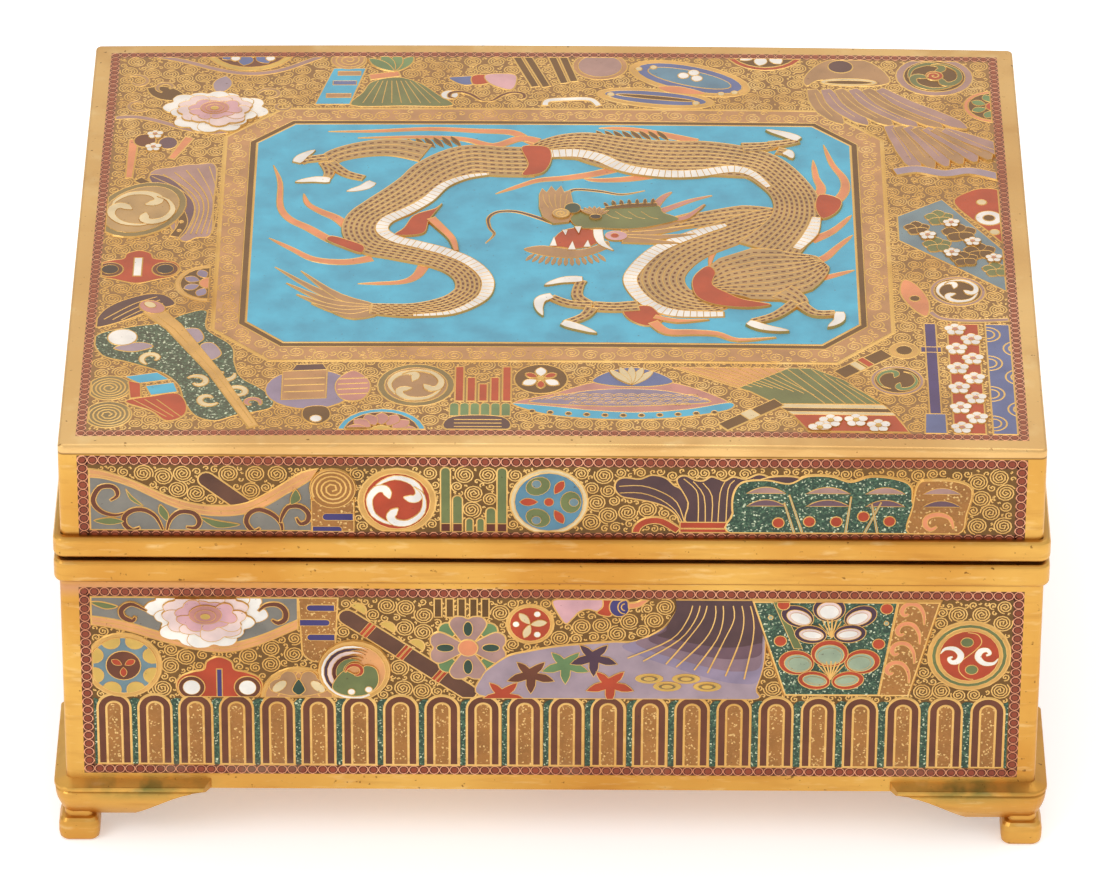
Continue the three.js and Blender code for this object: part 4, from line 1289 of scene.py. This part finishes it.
def curtain(b, u, v, s=1.0, side=1):
    """Hanging swag with brown scrolls under it, from a top corner at (u, v); side -1 mirrors it."""
    put = placer(u, v, s, side)
    upper = through(put(0, -0.6, 2.1, -0.9, 4.2, -1.6, 6.3, -2.5, 8.4, -3.6, 10.5, -4.7, 12.6, -5.5,
                        14.7, -6, 16.8, -6.1, 18.9, -6, 21, -5.4, 23.1, -4.1, 25.2, -2.6, 27.3, -1.1,
                        29.4, -0.5), steps=3)
    lower = through(put(0, -1.9, 2.1, -2, 4.2, -2.6, 6.3, -3.5, 8.4, -4.7, 10.5, -5.9, 12.6, -6.8,
                        14.7, -7.4, 16.8, -7.6, 18.9, -7.5, 21, -7, 23.1, -5.9, 25.2, -4.4, 27.3, -3,
                        28.5, -2.1), steps=3)
    swag(b, upper, lower, put(28.5, -12, 0, -12))
    b.thread(through(put(0.2, -1.3, 4.2, -2.2, 8.4, -4.2, 12.6, -6.2, 16.8, -6.9, 21, -6.2,
                         25.2, -3.5, 28.3, -1.5)), 0.18)
    for stem in ((3.2, -5.4, 4.1, -4.7, 4, -3.7, 3.2, -3.2, 1.9, -3.5, 1.1, -5, 1.3, -6.2, 2.3, -7.2,
                  3.8, -7.6, 5.1, -7.2),
                 (6.9, -9.4, 5.9, -9.8, 5, -9, 5, -7.7, 6.1, -6.8, 7.6, -6.8, 9, -7.9, 9.9, -10.2),
                 (12.7, -9.3, 13.9, -9.4, 14.4, -8.4, 13.7, -7.2, 12, -7, 10.7, -8.2, 10.2, -10.2),
                 (22, -9.4, 21.2, -9.9, 20.3, -8.6, 20.7, -7.2, 22, -6.6, 23.7, -7.4, 24.7, -8.8,
                  24.8, -10.3),
                 (26.6, -7.8, 27.1, -8.7, 28, -8.3, 28.1, -7.1, 27.1, -6.1, 25.6, -6.2, 24.8, -7.6,
                  24.6, -8.6)):
        vine(b, through(put(*stem), steps=3), "brown", 0.75 * s)
    for blade in ((5.2, -3.6, 5.8, -5.3, 7.4, -6.2, 5.9, -4.6), (1.1, -8.4, 3.2, -7.9, 4.9, -8.5, 3, -9),
                  (9.5, -5.9, 10.5, -7.2, 10.3, -8.4, 9.3, -7.2),
                  (14.5, -7.8, 16.8, -8.3, 19.5, -8.9, 16.6, -9.4),
                  (26.6, -3.5, 27.2, -5, 26, -5.8, 25.9, -4.8)):
        b.cell(through(put(*blade), True, 4), "moss", wire=0.2)


def sheaf(b, u, v):
    """Sheaf of long dark leaves tied with red; (u, v) is the knot."""
    put = placer(u, v)
    b.cell(through(put(-3.4, -1.2, -4, 0, -5.2, 1.2, -7, 2, -9.3, 2.5, -11, 2.9, -11.8, 4, -11.6, 5.2,
                       -10.6, 5.7, -8.7, 5.5, -7.2, 6.1, -5.5, 5.7, -4.4, 4.6, -3.4, 3.9, -2, 1.6,
                       -1, -1.2), True, 4), "plum")
    b.cell(through(put(-2.6, -1.2, -2.6, 2, -4, 5, -3.7, 5.9, -2.8, 6, -1.8, 5.4, -0.7, 5.3, 0.2, 5.9,
                       1, 5.7, 2, 5.3, 3, 5.9, 4.6, 5.6, 6.2, 6.3, 7.4, 5.8, 6.6, 4.6, 4.6, 2.6,
                       3.6, -1.2), True, 4), "plum")
    b.cell(through(put(3.6, 2.4, 5.2, 4.8, 7.6, 5.9, 10.6, 6, 11.6, 5.4, 10.4, 4.5, 7.6, 3.8), True, 4),
           "plum")
    for vein in ((-11.3, 4.4, -8.5, 4.5, -6, 3.6, -4, 2, -3, -1),
                 (-11.2, 3.4, -8.5, 3.4, -6, 2.4, -4.2, 0.8, -3.3, -1),
                 (-3.2, 5.6, -1.6, 3.9, -1.3, 1.9, -1.3, -1), (-2, 5.2, -0.6, 3, -0.4, -1),
                 (-0.8, 5, 0.4, 3, 0.4, -1),
                 (2, 5.2, 1.4, 3.4, 1.2, -1), (3.2, 5.4, 2.4, 4, 2.2, -1), (5.6, 5.6, 3.6, 3.2, 3, -1)):
        b.thread(through(put(*vein), steps=3), 0.18)
    for top_v in (-0.9, -1.95):
        b.cell(put(-3.6, top_v, 4.2, top_v, 4.2, top_v - 0.95, -3.6, top_v - 0.95), "red", wire=0.24)
    b.strip(through(put(-3.8, -2.2, -5.9, -0.8, -7.7, -0.8, -8.9, -1.7, -9.1, -3, -8.4, -3.7,
                        -7.3, -3.7), steps=3), 1.0, "red")


def rocks(b, u, v):
    """Green aventurine banks with leaves and berries, and a brown bank beside them."""
    put = placer(u, v)
    b.cell(through(put(0, -0.3, -0.9, 3, -0.8, 6, 0.4, 7.7, 3.4, 8, 6.2, 7.5, 8.4, 8.6, 11.4, 8.6,
                       13.9, 7.8, 16.4, 8.6, 19.4, 8.3, 21.4, 7.3, 21.7, 5, 21.2, 0), True), "forest", 0.4,
                       "green")
    b.cell(through(put(21.4, 0, 21.7, 4, 22.4, 7.6, 24.4, 8.1, 27.4, 7.9, 29.2, 6.6, 28.6, 3, 27.6, 0),
                   True),
           "copper", 0.4, "brown")
    for du, wide in ((3.3, 2.5), (11.1, 2.8), (18.3, 2.5), (25.4, 2.5)):
        for dv in (6, 4.1):
            arch = [(u + du + wide * x, v + dv + 1.0 * (1 - x * x)) for x in np.linspace(-1, 1, 11)]
            b.cell(arch + [(u + du + wide * x, v + dv) for x in (0.5, -0.5)], "mauve" if dv > 5 else "dusk",
                   0.22)
    for blade in ((6.2, 5.8, 7.9, 0.2), (5.6, 4.6, 6.9, 0.2), (14, 5.6, 13.4, 0.2), (17.8, 4.8, 15.8, 0.2),
                  (16.6, 4.6, 17.4, 0.2)):
        b.strip(put(*blade), [0.2, 0.8, 0.7, 0.3], "sage", wire=0.2)
    dots(b, put(4.9, 1.6, 8.8, 1.8, 12.2, 1.8, 15.6, 2.6, 18.9, 1.9), 0.8, "red")
    vine(b, through(put(24.9, 1.2, 24.1, 0.7, 23.4, 1.4, 23.6, 2.5, 25, 3, 26.5, 2.4, 27, 0.8), steps=3),
         "coral", 0.75)


def pipe(b, u, low, high, wide, tone, wire=0.22, kind="plain"):
    """Upright bar with a round top."""
    r = wide / 2
    b.cell([(u - r, low), (u + r, low), *oval(u, high - r, r, start=0, end=180, count=14)], tone, wire,
           kind)


def organ(b, u, v, height):
    """Green bars of two lengths with dark feet."""
    for du, down in ((-3.6, 0), (-2.1, 4.2), (2.1, 6), (3.5, 0)):
        pipe(b, u + du, v, v + height - down, 1.25, "moss")
        b.cell(hard(u + du - 0.6, v, u + du + 0.6, v, u + du + 0.6, v + 1.2, u + du - 0.6, v + 1.2),
               "sienna", wire=0.16)
    for du in (-0.6, 0.8):
        pipe(b, u + du, v, v + height - 7.6, 0.95, "moss")


def wheel(b, u, v, r):
    """Blue badge with green clouds and red darts."""
    b.disc(u, v, r, "cream")
    b.disc(u, v, r * 0.89, "azure", wire=0.2)
    for k in range(3):
        at = 120 + 120 * k
        b.disc(*around(u, v, 0.56 * r, at), 0.33 * r, "moss", rv=0.27 * r, turned=at - 90, wire=0.14,
               count=16)
        b.disc(*around(u, v, 0.64 * r, at), 0.13 * r, "teal", wire=0.14, count=10)
        b.cell(leaf(u, v, 60 + 120 * k, 0.76 * r, 0.24 * r, 0.28 * r), "red", wire=0.14)
    b.disc(u, v, 0.13 * r, "red", wire=0.14, count=10)


def star(b, u, v, s=1.0):
    """Mauve flower of four broad petals with dark drops, and green between them."""
    for k in range(4):
        b.disc(*around(u, v, 3.7 * s, 45 + 90 * k), 1.2 * s, "green", count=14)
    for k in range(4):
        b.cell(petal(u, v, 90 * k, 4.8 * s, 4.6 * s), "mauve")
        b.disc(*around(u, v, 2.9 * s, 90 * k), 1.15 * s, "forest", rv=0.62 * s, turned=90 * k,
               wire=0.2, count=14)
    b.disc(u, v, 1.3 * s, "coral", count=16)


def arches(b, count, pitch, foot, head):
    """Row of tall arches, each with a brown core; green aventurine shows between them."""
    outer, inner = 2.12, 1.02
    half = (count - 1) / 2
    for k in range(count + 1):
        pipe(b, (k - half - 0.5) * pitch, foot, head - 0.55, 1.9, "forest", 0, "green")
    for k in range(count):
        u = (k - half) * pitch - 0.7 * math.sin(math.pi * k / (count - 1))
        for r, tone, kind, wire in ((outer, "brown", "plain", 0.44), (inner, "copper", "brown", 0.48)):
            b.cell([(u - r, foot), (u + r, foot), *oval(u, head - outer, r, start=0, end=180, count=28)],
                   tone, wire, kind)


def stream(b, u, v, s=1.0):
    """Stream with a dark waterfall and drifting maple leaves; (u, v) is its low left corner."""
    put = placer(u, v, s)
    b.cell(through(put(0, 0, 0.4, 3, 1.7, 4.5, 3.8, 6.1, 6.3, 6.8, 9.5, 7.5, 12.7, 7.9, 17, 8.3,
                       20, 8.4, 22.9, 10, 24.2, 11.5, 25.2, 13.5, 25.4, 15.8, 30, 16.2, 35.3, 16,
                       36, 12.5, 36.4, 9, 36.3, 5, 35.4, 1.2, 34.6, -0.6, 20, -0.6, 8, -0.6), closed=True),
                       "lilac")
    for k, tone in enumerate(("lavender", "haze", "dusk", "plum")):
        b.cell(through(put(25.3, 15.6, 30, 15.9, 35, 15.8, 35.9, 11.5, 36, 8.5, 35.7, 2.6 + 1.9 * k, 33,
                           2 + 1.9 * k, 30, 2.6 + 1.7 * k,
                           26, 4 + 1.5 * k, 21 + 0.6 * k, 6 + 1.1 * k, 18.2 + 1.7 * k, 7.7 + 0.7 * k,
                           21.4 + 0.8 * k, 9 + 0.4 * k,
                           23.9, 10.9, 25, 13.4), closed=True), tone, wire=0)
    for k, (a, c, d, e) in enumerate(((27.3, 26.6, 24.4, 18.9), (28.2, 27.6, 25.5, 20.9),
                                      (29.1, 28.5, 26.5, 23.8),
                                      (29.8, 30, 28.7, 25.1), (30.8, 31, 30.2, 27.4),
                                      (31.9, 32.4, 31.2, 29.1),
                                      (33, 33.6, 33.2, 31.4), (34, 34.8, 34.8, 33.8))):
        b.thread(through(put(a, 15.4, c, 12.2, d, 8.8, e, 5.9 - 0.45 * k), steps=4), 0.2)
    for du, dv, tone in ((6.6, 3.3, "brown"), (11, 4.8, "green"), (14.6, 6, "dark"), (16.7, 1.9, "red"),
                         (3.1, 0.1, "red")):
        maple(b, u + s * du, v + s * dv, 3.1 * s, tone, 0)
    for du, dv in ((21.7, 2.7), (26.4, 2.7), (24, 1.5), (29.1, 1.5)):
        for r, tone in ((1.8, "yellow"), (1.2, "olive"), (0.7, "yellow")):
            b.disc(u + s * du, v + s * dv, r * s, tone, rv=0.42 * r * s, wire=0.2, count=16)


def flower_bank(b, u, v, s=1.0):
    """Green aventurine bank with two big flowers; (u, v) is its low middle."""
    put = placer(u, v, s)
    b.cell(put(-10.4, 16, -5.6, 0, 6.4, 0, 8.8, 16), "forest", 0.55, "green")
    b.cell(put(-8, 16, -7.2, 16, -3.4, 7.2, -4.6, 7.2), "moss", 0.22)
    for dv, band, inner, lobes in (
            (8.9, "dark", "white", ((-4.2, 3.3, 2.2, 1.6, -25), (3.8, 3.3, 2.2, 1.6, 25),
                                    (-2.5, 0.6, 2.1, 1.4, -8),
                                    (2.5, 0.7, 2.1, 1.4, 8), (-0.2, 4.4, 2.1, 1.9, 0))),
            (2.6, "red", "sage", ((-4.2, 2.5, 2.3, 1.9, -8), (4.2, 2.7, 2.3, 1.9, 8),
                                  (-1.9, -0.2, 2.1, 1.4, -10),
                                  (2.4, -0.2, 2.1, 1.4, 10), (0, 4, 2.4, 2.1, 0)))):
        for du, up, ru, rv, turned in lobes:
            for slimmer, tone in ((0, band), (0.5, "blush" if inner == "white" else inner), (0.85, inner)):
                back = 0.1 * slimmer
                b.disc(u + s * (du - back * du), v + s * (dv + up - back * up), (ru - slimmer) * s, tone,
                       rv=(rv - slimmer) * s, turned=turned, wire=0.24 if slimmer < 0.6 else 0.1)
        for k in range(7):
            a = math.radians(48 + 14 * k)
            b.thread([(u + s * 0.2, v + s * dv), (u + s * (0.2 + 2.5 * math.cos(a)),
                                                  v + s * (dv + 2.9 * math.sin(a)))], 0.2)
    dots(b, put(-6, 14, 7.1, 13.4, -6.3, 8.4, 6.2, 8), 0.85 * s, "red")
    dots(b, put(7.1, 11.2, -7.6, 12), 0.35 * s, "sage")


def comet(b, u, v, r):
    """Badge with one big curling comma: green at the foot, dark and white stripes over it."""
    b.disc(u, v, r, "gold")
    b.disc(u, v, 0.88 * r, "peach")
    for grown, tone in ((0.96, "white"), (0.88, "dark"), (0.78, "blush"), (0.66, "sienna"), (0.54, "moss")):
        line = [around(u, v, r * (grown - 0.14), a) for a in range(60, 301, 16)]
        b.strip(line, [0.02, 0.16 * r, 0.22 * r, 0.24 * r, 0.22 * r], tone, wire=0.16)
    put = placer(u, v, r)
    b.cell(through(put(-0.62, -0.5, -0.3, 0.04, 0.1, -0.1, 0.3, 0.22, 0.62, 0.1, 0.66, -0.42,
                       0.3, -0.78, -0.3, -0.78), True), "moss")
    scroll(b, u + 0.04 * r, v + 0.02 * r, 0.28 * r, "red", 60, 1, 0.6)
    dots(b, ((u - 0.08 * r, v - 0.66 * r), (u + 0.4 * r, v - 0.58 * r)), 0.11 * r, "white")


def sunwheel(b, u, v, r):
    """Grey-blue wheel with eight yellow lobes at its rim."""
    b.disc(u, v, r, "gold")
    b.disc(u, v, 0.88 * r, "teal")
    for k in range(8):
        middle = 22.5 + 45 * k
        rim = oval(u, v, 0.88 * r, start=middle - 17, end=middle + 17, count=60)
        bulge = oval(*around(u, v, 0.82 * r, middle), 0.25 * r, start=middle + 95, end=middle + 265,
                     count=16)
        b.cell(rim + bulge, "yellow", wire=0.2)
    b.disc(u, v, 0.46 * r, "brown")
    for k in range(3):
        b.cell(leaf(u, v, 30 + 120 * k, 0.36 * r, 0.19 * r, 0.04 * r), "red", wire=0.18)


def capsule(b, start, end, width, tone):
    """Bar with round ends."""
    (u0, v0), (u1, v1) = start, end
    tilt = math.degrees(math.atan2(v1 - v0, u1 - u0))
    b.cell(oval(u1, v1, width / 2, start=tilt - 90, end=tilt + 90, count=16)
           + oval(u0, v0, width / 2, start=tilt + 90, end=tilt + 270, count=16), tone)


def flute(b, start, end, width):
    """Dark flute with round ends and thin red bindings."""
    capsule(b, start, end, width, "flute")
    (u0, v0), (u1, v1) = start, end
    for share in (0.14, 0.44, 0.74):
        for shift in (0, 0.032):
            t = share + shift
            at = [(u0 + (u1 - u0) * (t + d), v0 + (v1 - v0) * (t + d)) for d in (0, 0.026)]
            b.strip(at, width, "red", wire=0.15)


def bars(b, u, v, count):
    """Brown tongue with navy bars that start from either side in turn."""
    height = 2.3 * count + 3.1
    foot = oval(u + 0.1, v - height + 2.1, 2.1, 1.9, start=180, end=360, count=20)
    b.cell([(u - 2.4, v), *foot, (u + 2.6, v)], "copper", kind="brown")
    for k in range(count):
        at, left = v - 1.5 - 2.25 * k, k % 2
        tip = oval(u + (1.1 if left else -0.9), at, 0.5, start=-90 if left else 90, end=90 if left else 270,
                   count=14)
        root = placer(u, at)(-2.3, 0.5, -2.3, -0.5) if left else placer(u, at)(2.2, -0.5, 2.2, 0.5)
        b.cell(tip + root, "indigo", wire=0.2)


def brush(b, u, v, s=1.0):
    """Pink brush with a red and blue handle; (u, v) is its upper left corner."""
    put = placer(u, v, s)
    b.cell(through(put(0, 0, 0.7, -1.8, 1.7, -3.3, 2.6, -2.5, 3.4, -1.5, 4.5, -1.1, 5.6, -1.4,
                       6.6, -1.2, 6.6, 1.2, 3.4, 1.1, 1, 0.5),
                   closed=True), "pink")
    b.cell(through(put(6.4, 1.1, 7.7, 0.5, 7.6, -0.6, 7.5, -2, 6.6, -2.1, 5.6, -1.6, 6.4, -0.6),
                   closed=True), "red")
    b.disc(u + 8.5 * s, v - 0.7 * s, 1.3 * s, "indigo", rv=1.5 * s)
    for r in (0.9, 0.45):
        b.thread(oval(u + 9.2 * s, v - 0.7 * s, r * s, r * 1.15 * s, start=90, end=270, count=16), 0.2)
    b.strip(through(put(9.6, -0.5, 10.9, -0.3, 12.1, 0.6, 13.2, 1.1)), [0.9, 0.8, 0.6, 0.5], "coral")


def dome(b, u, v, r):
    """Half-hidden round flower: pale petals to either side of a dark drop."""
    b.disc(u, v, r, "gold")
    b.disc(u, v, 0.9 * r, "tan")
    for side in (-1, 1):
        b.cell(petal(u, v + 0.1 * r, 90 - side * 42, 0.82 * r, 0.8 * r), "rosewood")
        b.disc(u + side * 0.5 * r, v + 0.42 * r, 0.24 * r, "cream", rv=0.13 * r, turned=side * -45,
               wire=0.16, count=12)
        b.thread([(u, v + 0.88 * r), (u + side * 0.55 * r, v + 0.1 * r)], 0.25)
    drop = placer(u, v, r)(0, 0.66, 0.14, 0.44, 0.17, 0.28, 0, 0.14, -0.17, 0.28, -0.14, 0.44)
    b.cell(through(drop, True), "forest")


def coins(b, u, v, r):
    """Red roundel with a cream three-leaf and white spots."""
    b.disc(u, v, r, "gold")
    b.disc(u, v, 0.88 * r, "red")
    for k in range(3):
        b.cell(leaf(u, v, 130 + 120 * k, 0.74 * r, 0.34 * r), "cream", wire=0.16)
        b.disc(*around(u, v, 0.6 * r, 60 + 120 * k), 0.15 * r, "white", wire=0.14, count=10)


def eddies(b, u, v, r):
    """Green and gold ringed roundel: on red, two white eddies and two green spots about a curve."""
    k = r / 5.3

    def put(sign, *numbers):
        return through([(u + sign * k * p[0], v + sign * k * p[1]) for p in pairs(numbers)], steps=4)

    for share, tone in ((1, "gold"), (0.91, "moss"), (0.81, "gold"), (0.73, "red")):
        b.disc(u, v, share * r, tone, wire=0.22)
    b.thread(put(1, -0.3, 3.6, 0.95, 3.3, 1.5, 2.1, 0.75, 0.9, -0.3, -0.1, -1.2, -1.1, -1.2, -2.4, -0.3,
                 -3.4, 0.6, -3.6), 0.18)
    for sign in (1, -1):
        b.cell(strap(put(sign, -3.7, 0.3, -3.1, 1.1, -1.9, 1.1, -1.1, 0.2, -1.4, -0.75, -2.2, -0.95, -2.6,
                         -0.4, -2.1, -0.1),
                     [0.1 * k, 0.5 * k, 0.75 * k, 0.9 * k, 0.9 * k, 0.7 * k, 0.5 * k, 0.3 * k]), "white",
                     wire=0.14)
        b.disc(u - sign * 0.35 * k, v + sign * 2.1 * k, 0.85 * k, "moss", rv=0.75 * k, wire=0.22, count=14)


def panel_rim(b):
    """Half width of the drawing, and its low and high edge."""
    (u0, v0), (u1, v1) = b.limits()
    return u1, v0, v1


ARCH_PITCH = 5.32
ARCH_TOP = 22.3
PICTURE_FOOT = 22

# %% Front of the lid
b = lids["front"]
edge_u, low_v, high_v = panel_rim(b)
capsule(b, (-43.4, 54.9), (-38.6, 50.9), 2.2, "flute")
curtain(b, -58.8, 57.1)
b.cell(hard(-30.3, low_v, -24.9, low_v, -24.9, 52, -30.3, 52), "copper", kind="brown")
b.cell([*oval(-28.4, 49.5, 0.55, start=90, end=270, count=14), (-25, 48.95), (-25, 50.05)], "indigo",
       wire=0.2)
b.cell([*oval(-26.9, 47.6, 0.5, start=-90, end=90, count=14), (-30.2, 48.1), (-30.2, 47.1)], "indigo",
       wire=0.2)
coil(b, -27.6, 53.7, 2.9, "copper", 4.5)
badge(b, -19.5, 51.8, 4.9, "gold", "red", "white", start=8)
organ(b, -9.8, low_v, 9.6)
wheel(b, -0.4, 51.8, 4.9)
sheaf(b, 19.7, 49.8)
rocks(b, 23.6, low_v)

# %% Front of the body
b = bodies["front"]
edge_u, low_v, high_v = panel_rim(b)
arches(b, 22, ARCH_PITCH, low_v, ARCH_TOP)
upper = soft(-59.2, 34.4, -57.5, 34.2, -55.4, 33.8, -53.2, 33.2, -51.1, 32.4, -49, 31.7, -46.9, 31,
             -44.7, 30.5, -42.6, 30.2, -40.5, 30.3, -38.4, 30.9, -36.2, 31.8, -34.1, 32.9,
             -32.2, 33.9, closed=False, steps=3)
lower = [(u, v - 1.35) for u, v in upper]
b.cell(upper + hard(-32.2, high_v, -59.2, high_v), "grey")
b.cell(upper + lower[::-1], "peach")
b.thread([(u, v - 0.68) for u, v in upper[1:-1]], 0.18)
peony(b, -43.9, 34.7, 1.06, flat=0.68)
vine(b, soft(-52.8, 34.3, -53.2, 33.7, -54.3, 34.2, -54.6, 35.2, -54, 36, -53, 36.2, -51.3, 35.2,
             closed=False, steps=3), "brown", 0.8)
vine(b, soft(-35.5, 33.9, -34.7, 33.4, -33.8, 34, -33.8, 35.3, -34.7, 36.2, -36.2, 36.1, -37.2, 35.2,
             closed=False, steps=3), "brown", 0.8)
b.cell(soft(-58.5, 36.4, -57, 36.5, -55, 35.8, -56.6, 35.4), "moss")
bars(b, -29.7, high_v, 3)
sunwheel(b, -54.5, 26.8, 4.9)
b.fences = [(0, 1, PICTURE_FOOT)]
cloud(b, -42.3, 24.1, 1.02, "white", "indigo", 0.75)
dome(b, -32.2, 21.7, 4.9)
comet(b, -25.1, 26.2, 4.6)
flute(b, (-25.9, 34.3), (-10.6, 22.9), 2.3)
for u, v in ((-24.6, 35.4), (-20.9, 32.6), (-17.2, 29.9)):
    b.cell(oval(u, v, 1.1, start=-37, end=143, count=20), "yellow", wire=0.2)
for k in range(5):
    pipe(b, -14.4 + 1.5 * k, 34.4, high_v + 1, 0.95, "umber")
star(b, -10.6, 29.75)
coins(b, -2.7, 33.4, 3.0)
brush(b, 0.1, 36.8)
stream(b, -9.2, 22.5)
flower_bank(b, 35.4, 22.8)
b.cell(hard(43.9, high_v, 41.7, 22.8, 45.6, 22.8, 49.3, high_v), "copper", 0.5, "brown")
for u, v in ((45.2, 35.9), (44.7, 32.9), (44.1, 29.9), (43.5, 26.9)):
    curl = placer(u, v)(0.1, -0.4, -0.4, -0.7, -0.8, -0.1, -0.4, 0.8, 0.5, 1.1, 1.4, 0.7, 2, -0.5,
                        2.1, -2.1)
    vine(b, through(curl, steps=3), "coral", 0.7)
eddies(b, 53.2, 28.9, 5.3)
print("front drawn, panes:", len(lids["front"].laid) + len(bodies["front"].laid))

# %% The three other walls, plainer
for side in ("left", "back", "right"):
    b = lids[side]
    edge_u, low_v, high_v = panel_rim(b)
    middle_v = (low_v + high_v) / 2
    curtain(b, -edge_u, high_v)
    badge(b, -12, middle_v, 4.8, "cream", "red", "white")
    wheel(b, 3, middle_v, 4.8)
    if side == "back":
        curtain(b, edge_u, high_v, side=-1)
        organ(b, 13, low_v, 9.4)
        sunwheel(b, 24, middle_v, 4.6)
        sunwheel(b, -24, middle_v, 4.6)
    else:
        organ(b, 12.5, low_v, 9.4)
        rocks(b, edge_u - 29.6, low_v)

    b = bodies[side]
    edge_u, low_v, high_v = panel_rim(b)
    count = round(2 * edge_u / ARCH_PITCH)
    arches(b, count, 2 * edge_u / count - 0.02, low_v, ARCH_TOP)
    b.fences = [(0, 1, PICTURE_FOOT)]
    sunwheel(b, -edge_u + 5.2, 30.4, 4.8)
    cloud(b, -edge_u + 17, 28.6, 1.05, "white", "indigo", 0.75)
    star(b, -19, 31)
    comet(b, edge_u - 6, 30.2, 4.8)
    flute(b, (edge_u - 23, 35.4), (edge_u - 12.5, 27.4), 2.3)
    stream(b, -12, 22.6, 0.95)
    if side == "back":
        flower_bank(b, 31, 22.6, 0.95)
        eddies(b, -31, 31, 4.8)
    b.fences = []
    print(side, "walls drawn, panes:", len(lids[side].laid) + len(b.laid))

# %% [markdown]
# ## Lay the ground and make the pieces
# When all pictures are drawn, spirals fill what is left. Each board then becomes two pieces, its
# glass and its wires. A mesh made from computed outlines is used here because no operator bends
# a wire round a picture.

# %% Make the pieces


def piece(sheet, name, finishes, slot):
    mesh = bpy.data.meshes.new(name)
    mesh.from_pydata(sheet.points, [], sheet.faces)
    for finish in finishes:
        mesh.materials.append(finish.material)
    mesh.polygons.foreach_set("material_index", sheet.kinds)
    if slot == "enamel":
        tint = mesh.color_attributes.new("enamel", "FLOAT_COLOR", "CORNER")
        sizes = np.array([len(face) for face in sheet.faces])
        tint.data.foreach_set("color", np.repeat(np.array(sheet.tints), sizes, axis=0).ravel())
    item = bpy.data.objects.new(name, mesh)
    bpy.context.scene.collection.objects.link(item)
    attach(item, "root")
    return sum(len(face) - 2 for face in sheet.faces)


for number, board in enumerate(boards):
    spirals = spiral_ground(board, number)
    name = board.name.replace("_enamel", "")
    panes = piece(board.glass, name + "_glass", (plain_glass, green_glass, brown_glass), "enamel")
    strands = piece(board.wires, name + "_wires", (wire_gilt, ring_gilt), "gilt_brass")
    print(name, "spirals", spirals, "glass triangles", panes, "wire triangles", strands)

# %% Finishes for the model's own pieces
ground_glass = enamel("ground_glass", roughness=0.34)
own = next(node for node in ground_glass.tree.nodes if node.type == "ATTRIBUTE")
wall_tone = ground_glass.mix(ground_glass.noise(500), srgb("7c5828"), srgb("624218"))
# painted light: the ground enamel on the lid's top is given a paler colour than on the walls
wall_and_lit_top_tone = ground_glass.mix(ground_glass.steps(ground_glass.axis("Z"), *TOP_FIELD), wall_tone,
                            srgb("8e6638"))
for connection in list(own.outputs["Color"].links):
    ground_glass.link(wall_and_lit_top_tone, connection.to_socket)
ground_glass.tree.nodes.remove(own)

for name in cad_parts:
    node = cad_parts[name]
    # the lid's top plate takes the paler gilt, painted light of its upward face
    finish = ground_glass if "enamel" in name else lit_lid_top_gilt if name == "lid_top" else frame_gilt
    for place in node.material_slots:
        place.material = finish.material
